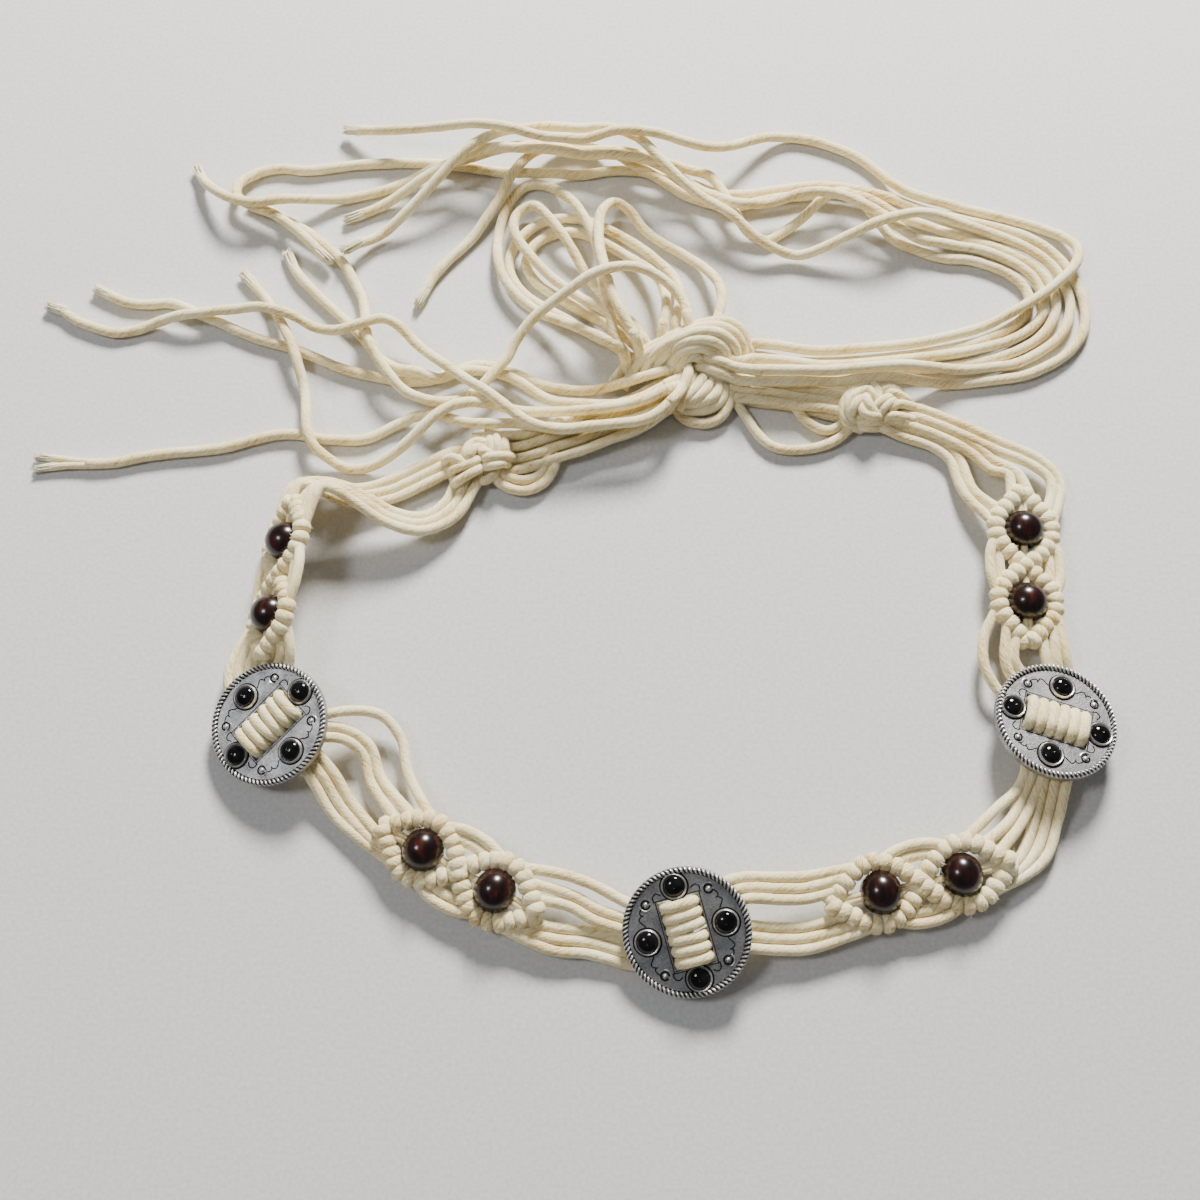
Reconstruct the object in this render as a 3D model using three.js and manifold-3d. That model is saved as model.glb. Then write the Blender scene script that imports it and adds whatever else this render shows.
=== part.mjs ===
// A cotton cord belt lying in a loop: three metal conchos, four pairs of knotted
// diamonds with dark beads, and long tie ends drawn through a bow knot at the back.
// Millimetres, +Z up, the belt resting on the plane z = 0.
import * as THREE from "three";
import { mergeVertices } from "three/addons/utils/BufferGeometryUtils.js";
import Module from "manifold-3d";

const wasm = await Module();
wasm.setup();

// Cords and the room between neighbours.
const CORD_RADIUS = 2.0;
const STRAND_RADIUS = 1.9;
const STRAND_PITCH = 3.76;
const STRANDS = 6;
const CORD_SIDES = 6;
const BUNCH_SIDES = 6;
const RIBBON_SIDES = 8;
const NECK_SIDES = 10;
const TURN_SIDES = 8;
const THIN_TURN_SIDES = 6;
const THIN_TURN_WIDTH = 5;
const SEAT_GAP = 0.3;
const MERGE_REACH = 1e-4;
const FLOOR_REACH = 400;
const ROOM_GAP = 0.4;

// How the loose cords are laid: each one lies on the floor or over the cords before it.
const LAY_STEP = 2.0;
const LAY_GAP = 0.7;
const LAY_SLOPE = 0.36;
const LAY_HOLD = 3;
const LAY_SELF = 12;
const THIN_TOLERANCE = 0.6;
const LOOSE_SIDES = 5;

// Conchos.
const CONCHO_RADIUS = 21.75;
const PLATE_THICKNESS = 2.5;
const RIM_WIDTH = 1.7;
const RIM_RISE = 0.8;
const RIM_SUNK = 0.4;
const SLOT_INNER = 1.9;
const SLOT_OUTER = 7.2;
const SLOT_HALF_WIDTH = 11.8;
const SLOT_CORNER = 0.8;
const SLOT_LEAVE = 7.6;
const STONE_RADIUS = 3.6;
const STONE_RISE = 2.5;
const STONE_SHOULDER = 0.8;
const STONE_SHOULDER_RISE = 0.66;
const STONE_ALONG = 13.6;
const STONE_ACROSS = 15.7;
const CUP_WALL = 0.75;
const CUP_RISE = 1.1;
const PLATE_SIDES = 20;
const CUP_SIDES = 8;
const STONE_SIDES = 8;

// Beads and the knotted rows round them.
const BEAD_RADIUS = 7.5;
const BEAD_LENGTH = 13.8;
const BEAD_BORE = 2.2;
const BEAD_SIDES = 10;
const BEAD_SHOULDER = 0.83;
const BEAD_BELLY = 0.6;
const CORE_RADIUS = 1.6;
const BEAD_FROM_MIDDLE = 14.2;
const ROW_RADIUS = 3.3;
const DIAMOND_HALF_LENGTH = 31.0;

const COLOURS = { cotton: 0xe9e0cc, silver: 0x8f9195, stone: 0x0d0d10, wood: 0x2b1210 };

const up = new THREE.Vector3(0, 0, 1);
const belt = new THREE.Group();
belt.name = "cord_belt";

function material(slot) {
  const metal = slot === "silver";
  const rough = { cotton: 0.95, silver: 0.42, stone: 0.12, wood: 0.22 }[slot];
  return new THREE.MeshStandardMaterial({
    color: COLOURS[slot],
    roughness: rough,
    metalness: metal ? 0.9 : 0,
  });
}

function addNode(name, geometry, slot) {
  const mesh = new THREE.Mesh(geometry, material(slot));
  mesh.name = name;
  belt.add(mesh);
  return mesh;
}

// Booleans.
function toSolid(geometry) {
  const bare = geometry.clone();
  for (const extra of ["normal", "uv"]) {
    bare.deleteAttribute(extra);
  }
  const merged = mergeVertices(bare, MERGE_REACH);
  return new wasm.Manifold(
    new wasm.Mesh({
      numProp: 3,
      vertProperties: new Float32Array(merged.attributes.position.array),
      triVerts: new Uint32Array(merged.index.array),
    })
  );
}

function toGeometry(solid) {
  const mesh = solid.getMesh();
  const geometry = new THREE.BufferGeometry();
  geometry.setAttribute("position", new THREE.BufferAttribute(mesh.vertProperties, 3));
  geometry.setIndex(new THREE.BufferAttribute(mesh.triVerts, 1));
  return geometry;
}

function fuse(geometries) {
  return geometries.map(toSolid).reduce((sum, next) => sum.add(next));
}

// What lies below the floor is pressed flat there.
function flattenBelow(solid) {
  const below = new THREE.BoxGeometry(2 * FLOOR_REACH, 2 * FLOOR_REACH, FLOOR_REACH);
  below.translate(0, 0, -FLOOR_REACH / 2);
  return solid.subtract(toSolid(below));
}

// A tube whose stations each say where it is and how wide and thick it is there. Its
// width lies level, or square to the station's up direction, or along a given edge.
class StationCurve extends THREE.CatmullRomCurve3 {
  constructor(stations) {
    super(stations.map((station) => station.at));
    this.stations = stations;
  }

  getUtoTmapping(u) {
    return u;
  }

  computeFrenetFrames() {
    const frames = { tangents: [], normals: [], binormals: [] };
    const last = this.stations.length - 1;
    this.stations.forEach((station, index) => {
      const before = this.stations[Math.max(index - 1, 0)].at;
      const after = this.stations[Math.min(index + 1, last)].at;
      const forward = after.clone().sub(before).normalize();
      const across = new THREE.Vector3().crossVectors(forward, station.up ?? up);
      if (station.across) {
        across.copy(station.across).addScaledVector(forward, -forward.dot(station.across));
      }
      across.normalize();
      const normal = new THREE.Vector3().crossVectors(across, forward);
      if (station.edge) {
        across.copy(station.edge).multiplyScalar(Math.sign(station.edge.dot(across)));
      }
      frames.tangents.push(forward);
      frames.normals.push(normal.multiplyScalar(station.thick / 2));
      frames.binormals.push(across.multiplyScalar(station.wide / 2));
    });
    return frames;
  }
}

function polygon(sides) {
  const corners = [];
  for (let i = 0; i < sides; i += 1) {
    const angle = (2 * Math.PI * i) / sides;
    corners.push(new THREE.Vector2(Math.cos(angle), Math.sin(angle)));
  }
  return new THREE.Shape(corners);
}

function loft(stations, sides) {
  return new THREE.ExtrudeGeometry(polygon(sides), {
    steps: stations.length - 1,
    bevelEnabled: false,
    extrudePath: new StationCurve(stations),
  });
}

function tube(points, radius, sides) {
  return loft(points.map((at) => ({ at, wide: 2 * radius, thick: 2 * radius })), sides);
}

function point(x, y, z) {
  return new THREE.Vector3(x, y, z);
}

// A frame on the belt: along the band, across it, and out of its face.
function makeFrame(origin, along, normal) {
  const out = normal.clone().addScaledVector(along, -normal.dot(along)).normalize();
  const across = new THREE.Vector3().crossVectors(out, along);
  return { origin, along, across, out };
}

function place(frame, along, across, out) {
  return frame.origin
    .clone()
    .addScaledVector(frame.along, along)
    .addScaledVector(frame.across, across)
    .addScaledVector(frame.out, out);
}

function placeGeometry(geometry, frame) {
  const matrix = new THREE.Matrix4().makeBasis(frame.along, frame.across, frame.out);
  matrix.setPosition(frame.origin);
  return geometry.applyMatrix4(matrix);
}

function radians(degrees) {
  return THREE.MathUtils.degToRad(degrees);
}

// Conchos: where each plate is, the band's heading on it, and how its face leans.
const CONCHOS = [
  { name: "left", x: -115.5, y: -50, z: 10.2, heading: -47, leanX: -15, leanY: -5 },
  { name: "front", x: 29, y: -121.5, z: 10.6, heading: 16, leanX: -8, leanY: -17 },
  { name: "right", x: 159.5, y: -49, z: 9.6, heading: 72, leanX: 6, leanY: 9 },
];

function conchoFrame(row) {
  const normal = point(Math.tan(radians(row.leanX)), Math.tan(radians(row.leanY)), 1);
  normal.normalize();
  const heading = point(Math.cos(radians(row.heading)), Math.sin(radians(row.heading)), 0);
  const along = heading.addScaledVector(normal, -heading.dot(normal)).normalize();
  return makeFrame(point(row.x, row.y, row.z), along, normal);
}

function slotHole(from, to) {
  const hole = new THREE.Path();
  const half = SLOT_HALF_WIDTH;
  hole.moveTo(from, -half + SLOT_CORNER);
  hole.lineTo(from + SLOT_CORNER, -half);
  hole.lineTo(to - SLOT_CORNER, -half);
  hole.lineTo(to, -half + SLOT_CORNER);
  hole.lineTo(to, half - SLOT_CORNER);
  hole.lineTo(to - SLOT_CORNER, half);
  hole.lineTo(from + SLOT_CORNER, half);
  hole.lineTo(from, half - SLOT_CORNER);
  hole.closePath();
  return hole;
}

function conchoPlate() {
  const outline = new THREE.Shape();
  outline.absarc(0, 0, CONCHO_RADIUS, 0, 2 * Math.PI);
  outline.holes.push(slotHole(SLOT_INNER, SLOT_OUTER), slotHole(-SLOT_OUTER, -SLOT_INNER));
  const plate = new THREE.ExtrudeGeometry(outline, {
    depth: PLATE_THICKNESS,
    bevelEnabled: false,
    curveSegments: PLATE_SIDES,
  });
  plate.translate(0, 0, -PLATE_THICKNESS / 2);
  return plate;
}

// A ring with a flat foot, turned about its own axis.
function ring(outer, inner, foot, top, sides) {
  const middle = (outer + inner) / 2;
  const profile = [
    new THREE.Vector2(inner, foot),
    new THREE.Vector2(outer, foot),
    new THREE.Vector2(middle, top),
    new THREE.Vector2(inner, foot),
  ];
  const geometry = new THREE.LatheGeometry(profile, sides);
  geometry.rotateX(Math.PI / 2);
  return geometry;
}

// The room that the plate's disc takes, with a gap round it.
function plateRoom(frame) {
  const across = CONCHO_RADIUS + 2 * SEAT_GAP;
  const thick = PLATE_THICKNESS + 2 * SEAT_GAP;
  const disc = new THREE.CylinderGeometry(across, across, thick, PLATE_SIDES);
  disc.rotateX(Math.PI / 2);
  return toSolid(placeGeometry(disc, frame));
}

const STONE_PLACES = [
  { along: -STONE_ALONG, across: 0 },
  { along: STONE_ALONG, across: 0 },
  { along: 0, across: -STONE_ACROSS },
  { along: 0, across: STONE_ACROSS },
];

function stone(floor) {
  const top = floor + STONE_RISE;
  const profile = [
    new THREE.Vector2(0, floor),
    new THREE.Vector2(STONE_RADIUS, floor),
    new THREE.Vector2(STONE_SHOULDER * STONE_RADIUS, floor + STONE_SHOULDER_RISE * STONE_RISE),
    new THREE.Vector2(0, top),
  ];
  const geometry = new THREE.LatheGeometry(profile, STONE_SIDES);
  geometry.rotateX(Math.PI / 2);
  return geometry;
}

function buildConcho(row) {
  const frame = conchoFrame(row);
  const face = PLATE_THICKNESS / 2;
  const rim = ring(
    CONCHO_RADIUS, CONCHO_RADIUS - RIM_WIDTH, face - RIM_SUNK, face + RIM_RISE, PLATE_SIDES
  );
  const parts = [conchoPlate(), rim];
  for (const seat of STONE_PLACES) {
    const inner = STONE_RADIUS + SEAT_GAP;
    const cup = ring(inner + CUP_WALL, inner, face - RIM_SUNK, face + CUP_RISE, CUP_SIDES);
    parts.push(cup.translate(seat.along, seat.across, 0));
  }
  const plate = placeGeometry(toGeometry(fuse(parts)), frame);
  addNode(`concho_${row.name}`, plate, "silver");
  STONE_PLACES.forEach((seat, index) => {
    const gem = stone(face + SEAT_GAP).translate(seat.along, seat.across, 0);
    addNode(`stone_${row.name}_${index + 1}`, placeGeometry(gem, frame), "stone");
  });
  return frame;
}

// Pairs of diamonds: the band's two end points and how far its face rolls outward.
const PAIRS = [
  {
    name: "left", sx: -112.5, sy: 34.5, sz: 12.5, ex: -119.5, ey: -26.5, ez: 12.5,
    roll: 48,
  },
  {
    name: "front_left", sx: -75, sy: -85.5, sz: 7.6, ex: -20.8, ey: -115.6, ez: 8.2,
    roll: 12,
  },
  {
    name: "front_right", sx: 77.2, sy: -112, sz: 8.0, ex: 140.6, ey: -98, ez: 7.6,
    roll: 12,
  },
  {
    name: "right", sx: 153.8, sy: -19.5, sz: 7.8, ex: 156.8, ey: 40.5, ez: 7.8,
    roll: 5,
  },
];

// One knotted row from the pair's start to its end, round the outside of each bead.
const ROW_SHAPE = [
  { along: -31, across: 0, out: -0.8 },
  { along: -24.4, across: 5.6, out: -0.2 },
  { along: -18.6, across: 9.8, out: 0 },
  { along: -11.8, across: 10.2, out: 0 },
  { along: -6, across: 6.6, out: 0 },
  { along: 0, across: 0, out: 0.5 },
  { along: 6, across: -6.6, out: 0 },
  { along: 11.8, across: -10.2, out: 0 },
  { along: 18.6, across: -9.8, out: 0 },
  { along: 24.4, across: -5.6, out: -0.2 },
  { along: 31, across: 0, out: -0.8 },
];

// The outer cord that bows past the crossing between the two beads.
const BOW_SHAPE = [
  { along: -10.5, across: 10.2 },
  { along: -4, across: 12.8 },
  { along: 4, across: 12.8 },
  { along: 10.5, across: 10.2 },
];

function pairFrame(row) {
  const start = point(row.sx, row.sy, row.sz);
  const end = point(row.ex, row.ey, row.ez);
  const along = end.clone().sub(start).normalize();
  const outward = new THREE.Vector3().crossVectors(along, up).normalize();
  const roll = radians(row.roll);
  const normal = up.clone().multiplyScalar(Math.cos(roll));
  normal.addScaledVector(outward, Math.sin(roll));
  const frame = makeFrame(start.clone().add(end).multiplyScalar(0.5), along, normal);
  frame.stretch = start.distanceTo(end) / (2 * DIAMOND_HALF_LENGTH);
  return frame;
}

function bead(grow = 0) {
  const half = BEAD_LENGTH / 2 + grow;
  const radius = BEAD_RADIUS + grow;
  const bore = BEAD_BORE - grow;
  const profile = [
    new THREE.Vector2(bore, -half),
    new THREE.Vector2(BEAD_SHOULDER * radius, -BEAD_BELLY * half),
    new THREE.Vector2(radius, 0),
    new THREE.Vector2(BEAD_SHOULDER * radius, BEAD_BELLY * half),
    new THREE.Vector2(bore, half),
    new THREE.Vector2(bore, -half),
  ];
  const geometry = new THREE.LatheGeometry(profile, BEAD_SIDES);
  geometry.rotateZ(-Math.PI / 2);
  return geometry;
}

// The two crossing rows of a pair, grown by a gap where something is seated on them.
function rowTubes(pairStretch, grow) {
  const rows = [];
  const stretch = pairStretch * (1 + grow / DIAMOND_HALF_LENGTH);
  for (const side of [1, -1]) {
    const stations = ROW_SHAPE.map((spot) => ({
      at: point(spot.along * stretch, side * spot.across, side * spot.out),
      wide: 2 * (ROW_RADIUS + grow),
      thick: 2 * (ROW_RADIUS + grow),
    }));
    rows.push(loft(stations, CORD_SIDES));
    const bow = BOW_SHAPE.map((spot) => point(spot.along, side * spot.across, 0));
    rows.push(tube(bow, STRAND_RADIUS + grow, CORD_SIDES - 1));
  }
  return rows;
}

function buildPair(row) {
  const frame = pairFrame(row);
  const reach = DIAMOND_HALF_LENGTH * frame.stretch - ROW_RADIUS;
  const core = tube([point(-reach, 0, 0), point(reach, 0, 0)], CORE_RADIUS, CORD_SIDES);
  const beadRooms = [-1, 1].map((end) => bead(ROOM_GAP).translate(end * BEAD_FROM_MIDDLE, 0, 0));
  const rows = fuse(rowTubes(frame.stretch, 0)).subtract(fuse(beadRooms));
  const knotted = toGeometry(rows.add(toSolid(core)));
  addNode(`diamonds_${row.name}`, placeGeometry(knotted, frame), "cotton");
  [-1, 1].forEach((end, index) => {
    const shape = bead().translate(end * BEAD_FROM_MIDDLE, 0, 0);
    addNode(`bead_${row.name}_${index + 1}`, placeGeometry(shape, frame), "wood");
  });
  const room = rowTubes(frame.stretch, ROOM_GAP);
  frame.room = toSolid(placeGeometry(toGeometry(fuse(room)), frame));
  return frame;
}

const conchoFrames = Object.fromEntries(CONCHOS.map((row) => [row.name, buildConcho(row)]));
const pairFrames = Object.fromEntries(PAIRS.map((row) => [row.name, buildPair(row)]));

// The six strands of a concho lie side by side, rise through one slot, cross the bar
// and go down through the other slot.
const RIBBON_DEPTH = 3.7;
const RIBBON_SHAPE = [
  { along: -9.4, out: -RIBBON_DEPTH },
  { along: -6.2, out: -3.3 },
  { along: -4.75, out: -1.4 },
  { along: -4.6, out: 0.8 },
  { along: -3.3, out: 3.0 },
  { along: 0, out: 3.7 },
  { along: 3.3, out: 3.0 },
  { along: 4.6, out: 0.8 },
  { along: 4.75, out: -1.4 },
  { along: 6.2, out: -3.3 },
  { along: 9.4, out: -RIBBON_DEPTH },
];

function ribbon(frame) {
  const stations = RIBBON_SHAPE.map((spot) => ({
    at: place(frame, spot.along, 0, spot.out),
    across: frame.across,
    wide: STRANDS * STRAND_PITCH,
    thick: 2 * STRAND_RADIUS,
  }));
  return loft(stations, RIBBON_SIDES);
}

// Bunches of strands between a concho's slot and a pair of diamonds. Strands count from
// the outside of the belt, 0, to its inside, 5. A point [x, y] lies under the plate and a
// point [x, y, z] stands free.
const FANS = [
  {
    concho: "left", slot: -1, pair: "left", end: 1,
    bunches: [
      { strands: [0, 1, 2], route: [[-127.5, -38], [-129, -29.5, 5.6]] },
      { strands: [3, 4, 5], route: [[-116.5, -32.5], [-112.5, -25, 14.5]] },
    ],
  },
  {
    concho: "left", slot: 1, pair: "front_left", end: -1,
    bunches: [
      { strands: [0, 1, 2], route: [[-103, -61], [-96.7, -67.5, 6.5], [-89, -79, 3.4]] },
      { strands: [3, 4], route: [[-100, -53], [-89.5, -53, 8], [-82, -58, 4], [-78.5, -68, 3]] },
      {
        strands: [5],
        route: [[-98.5, -47.8], [-88, -45, 10], [-77, -46, 7], [-70, -54, 4.6], [-66.7, -67, 5]],
      },
    ],
  },
  {
    concho: "front", slot: -1, pair: "front_left", end: 1,
    bunches: [
      { strands: [0, 1, 2], route: [[12, -128], [-3.3, -124.2, 3.2], [-16, -123, 4.2]] },
      { strands: [3, 4], route: [[11.3, -118.8], [-1.4, -115.3, 6.4], [-9.5, -110.9, 6.8]] },
      { strands: [5], route: [[9.5, -111.5], [-2, -105.8, 8.5], [-12, -102.3, 8.8]] },
    ],
  },
  {
    concho: "front", slot: 1, pair: "front_right", end: -1,
    bunches: [
      { strands: [0, 1, 2], route: [[48, -123], [60, -123.2, 5.5], [70, -122.8, 5]] },
      { strands: [3, 4, 5], route: [[46.5, -107.8], [60, -107.2, 11], [69, -106.8, 9.6]] },
    ],
  },
  {
    concho: "right", slot: -1, pair: "front_right", end: 1,
    bunches: [
      { strands: [0, 1, 2], route: [[158, -68.5], [154.8, -82, 3.8], [149, -95, 3.2]] },
      { strands: [3, 4], route: [[152, -66.2], [148.5, -75, 6], [143, -84, 6]] },
      { strands: [5], route: [[148, -64.5], [145.5, -71.5, 7], [136.5, -79.5, 8]] },
    ],
  },
  {
    concho: "right", slot: 1, pair: "right", end: -1,
    bunches: [
      { strands: [0, 1, 2], route: [[165, -33.5], [163.4, -25, 6.6]] },
      { strands: [3, 4], route: [[151.5, -33], [146.5, -26.5, 7.2]] },
      { strands: [5], route: [[143.5, -38], [137.4, -29, 7.8], [137.6, -18, 7.4]] },
    ],
  },
];

// How far along its row from the pair's middle each strand is hitched.
const HITCH_ALONG = [14.5, 20, 25.5, 26.5, 21.5, 15.5];

function underPlate(frame, x, y) {
  const { origin, out } = frame;
  const drop = out.x * (x - origin.x) + out.y * (y - origin.y);
  return point(x, y, origin.z - (drop + RIBBON_DEPTH) / out.z);
}

// The last station of a bunch: flat against the row it is hitched to.
function hitchStation(pair, end, strands) {
  const hitches = strands.map((strand) => HITCH_ALONG[strand]);
  const nearest = Math.min(...hitches);
  const farthest = Math.max(...hitches);
  const along = (nearest + farthest) / 2;
  const side = strands[0] < STRANDS / 2 ? -1 : 1;
  const spots = ROW_SHAPE.filter((spot) => spot.along >= 0);
  const next = spots.findIndex((spot) => spot.along >= along);
  const from = spots[next - 1];
  const to = spots[next];
  const share = (along - from.along) / (to.along - from.along);
  const across = -THREE.MathUtils.lerp(from.across, to.across, share);
  const slope = (from.across - to.across) / (to.along - from.along);
  const edge = new THREE.Vector3()
    .addScaledVector(pair.along, end)
    .addScaledVector(pair.across, side * slope)
    .normalize();
  const away = new THREE.Vector3().crossVectors(edge, pair.out).normalize();
  const centre = place(pair, 0, side * across, 0);
  away.multiplyScalar(Math.sign(away.dot(pair.across)) * side);
  centre.addScaledVector(pair.along, end * along * pair.stretch);
  centre.addScaledVector(away, ROW_RADIUS + ROOM_GAP);
  const wide = Math.hypot(1, slope) * (farthest - nearest) + 2 * STRAND_RADIUS;
  return { at: centre, wide, thick: 2 * STRAND_RADIUS, edge, up: pair.out };
}

function bunchStations(bunch, concho, slot) {
  const wide = bunch.strands.length * STRAND_PITCH;
  const thick = 2 * STRAND_RADIUS;
  const middle = bunch.strands.reduce((sum, strand) => sum + strand, 0);
  const across = (middle / bunch.strands.length - (STRANDS - 1) / 2) * STRAND_PITCH;
  const start = place(concho, slot * SLOT_LEAVE, across, -RIBBON_DEPTH);
  const stations = [{ at: start, wide, thick, up: concho.out }];
  for (const [x, y, z] of bunch.route) {
    const covered = z === undefined;
    const at = covered ? underPlate(concho, x, y) : point(x, y, z);
    stations.push({ at, wide, thick, up: covered ? concho.out : up });
  }
  return stations;
}

for (const name of ["left", "front", "right"]) {
  const concho = conchoFrames[name];
  const bunches = [];
  const fans = FANS.filter((one) => one.concho === name);
  for (const fan of fans) {
    for (const bunch of fan.bunches) {
      const stations = bunchStations(bunch, concho, fan.slot);
      stations.push(hitchStation(pairFrames[fan.pair], fan.end, bunch.strands));
      bunches.push(loft(stations, BUNCH_SIDES));
    }
  }
  let strands = fuse(bunches).subtract(plateRoom(concho)).add(toSolid(ribbon(concho)));
  for (const fan of fans) {
    strands = strands.subtract(pairFrames[fan.pair].room);
  }
  addNode(`strands_${name}`, toGeometry(flattenBelow(strands)), "cotton");
}

// The two ends of the band: bunches from the last pair into a square knot, the knot's
// fat turns, and the tail that runs on to the tie knot. A point is x, y, z and roll.
const BAND_ENDS = [
  {
    name: "left", pair: "left", end: -1,
    bunches: [
      {
        strands: [0, 1, 2],
        route: [
          [-112.5, 42.5, 8, 48], [-103, 42.5, 7, 35], [-92, 39.5, 5.6, 20],
          [-80, 42, 4, 0], [-67, 48.5, 3.6, 0], [-55, 54.5, 4.4, 0],
        ],
      },
      {
        strands: [3, 4, 5],
        route: [
          [-103, 36.5, 18, 48], [-96, 37.5, 17.5, 48], [-87, 33.5, 14.5, 42],
          [-77, 28.5, 10.5, 34], [-65.5, 27.6, 7, 20], [-55.5, 34.5, 4.6, 8], [-50, 46, 4, 0],
        ],
      },
    ],
    turns: [
      { wide: 9.2, thick: 9.2, route: [[-58, 50.5, 3.9], [-52.5, 56.5, 7.3], [-50, 63, 3.9]] },
      { wide: 9.2, thick: 9.2, route: [[-47.5, 49, 3.9], [-46, 56, 7.8], [-44.5, 63.5, 3.9]] },
      { wide: 8.8, thick: 8.8, route: [[-41, 51.5, 3.8], [-39.5, 57, 7.4], [-39, 63.5, 3.8]] },
      {
        wide: 17, thick: 7.4,
        route: [
          [-48, 57, 3.4], [-38, 57.5, 3.2], [-26, 59, 3.2], [-12, 64, 3.3],
          [3, 69, 3.4], [15, 74.4, 3.6], [26.2, 81.7, 4.2],
        ],
      },
      {
        wide: 7.6, thick: 5,
        route: [[-41, 53, 4], [-36, 47, 3], [-28, 44.8, 2.8], [-21, 48.5, 2.8], [-17.5, 58, 3.4]],
      },
    ],
  },
  {
    name: "right", pair: "right", end: 1,
    bunches: [
      {
        strands: [0, 1],
        route: [
          [170.4, 44.5, 5.8, 0], [164, 53, 5.6, 0], [150.5, 59.5, 6, 0],
          [137, 67, 5.4, 0], [120, 74.4, 5, 0],
        ],
      },
      {
        strands: [2, 3],
        route: [
          [154.5, 47.5, 6.4, 0], [148, 51.5, 5.6, 0], [142, 58, 5, 0],
          [133, 64.5, 4.6, 0], [119, 70.5, 4.6, 0],
        ],
      },
      {
        strands: [4, 5],
        route: [
          [138.8, 40, 5, 0], [136.3, 47, 3.6, 0], [134.3, 55.5, 2.8, 0],
          [128, 62, 2.6, 0], [116, 66.5, 3.2, 0],
        ],
      },
    ],
    turns: [
      { wide: 9.6, thick: 9.6, route: [[98, 66.5, 4.1], [98.5, 74, 8], [102.5, 81, 4.1]] },
      { wide: 9.6, thick: 9.6, route: [[105, 66, 4.1], [106, 74, 8.2], [104.5, 82, 4.1]] },
      { wide: 9.2, thick: 9.2, route: [[113.5, 67.5, 3.9], [113, 74, 7.6], [113.5, 80.5, 3.9]] },
      {
        wide: 11, thick: 7.2,
        route: [[107, 74, 3.8], [96, 76.5, 3.4], [84, 79.5, 3.2], [72, 82, 3.3], [58.6, 83.8, 4]],
      },
      {
        wide: 3.8, thick: 3.8,
        route: [
          [98, 71, 4.4], [91, 65, 2.6], [82, 60.8, 2.1], [73, 59.6, 2.1],
          [66, 61.5, 2.1], [60, 67, 2.1], [55.5, 74, 2.1], [52, 80, 2.6],
        ],
      },
      {
        wide: 3.8, thick: 3.8,
        route: [[97, 72.5, 5], [87, 68, 2.6], [79.5, 72, 2.2], [74, 78, 2.8], [70, 82, 3.6]],
      },
    ],
  },
];

// The bow knot: a neck that the tails and ties run into, the arch of the bow over it
// and the turn that hangs below.
const TIE_KNOT = [
  {
    wide: 21, thick: 13,
    route: [[27, 82.5, 5.7], [36, 88.8, 5.7], [47, 91.5, 5.7], [58, 91.5, 5.7]],
  },
  {
    wide: 12.5, thick: 10,
    route: [
      [9, 96, 5.5], [16, 99, 8.5], [24, 102, 11.5], [32, 104, 13.5], [40, 105, 14],
      [47, 104, 12.8], [52.5, 101, 10.4], [55, 97, 8],
    ],
  },
  {
    wide: 9, thick: 8,
    route: [[32, 79, 6], [34.5, 73.5, 5], [41, 71, 4.6], [47.5, 75, 4.6], [50, 81, 6]],
  },
];

// A fat turn of a knot. Grown, it is the room that its neighbours leave free.
function turnGeometry(turn, sides, grow = 0) {
  const points = turn.route.map(([x, y, z]) => point(x, y, z));
  const last = points.length - 1;
  const before = points[0].clone().sub(points[1]).setLength(grow);
  const after = points[last].clone().sub(points[last - 1]).setLength(grow);
  points[0].add(before);
  points[last].add(after);
  const wide = turn.wide + 2 * grow;
  const thick = turn.thick + 2 * grow;
  return loft(points.map((at) => ({ at, wide, thick })), sides);
}

const knotTurns = TIE_KNOT.map((turn) => turnGeometry(turn, NECK_SIDES));
addNode("tie_knot", toGeometry(flattenBelow(fuse(knotTurns))), "cotton");
const tieKnotRoom = fuse(TIE_KNOT.map((turn) => turnGeometry(turn, NECK_SIDES, ROOM_GAP)));

function turnSides(turn) {
  return turn.wide < THIN_TURN_WIDTH ? THIN_TURN_SIDES : TURN_SIDES;
}

const squareKnotRooms = [];
for (const row of BAND_ENDS) {
  const pair = pairFrames[row.pair];
  const parts = row.turns.map((turn) => turnGeometry(turn, turnSides(turn)));
  for (const bunch of row.bunches) {
    const wide = bunch.strands.length * STRAND_PITCH;
    const stations = [hitchStation(pair, row.end, bunch.strands)];
    let before = stations[0].at;
    for (const [x, y, z, roll] of bunch.route) {
      const at = point(x, y, z);
      const forward = at.clone().sub(before).setZ(0).normalize();
      const aside = new THREE.Vector3().crossVectors(up, forward);
      const lean = up.clone().multiplyScalar(Math.cos(radians(roll)));
      lean.addScaledVector(aside, Math.sin(radians(roll)));
      stations.push({ at, wide, thick: 2 * STRAND_RADIUS, up: lean });
      before = at;
    }
    parts.push(loft(stations, BUNCH_SIDES));
  }
  const knotted = fuse(parts).subtract(pair.room).subtract(tieKnotRoom);
  addNode(`square_knot_${row.name}`, toGeometry(flattenBelow(knotted)), "cotton");
  const grown = row.turns.map((turn) => turnGeometry(turn, turnSides(turn), ROOM_GAP));
  squareKnotRooms.push(fuse(grown));
}

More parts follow.
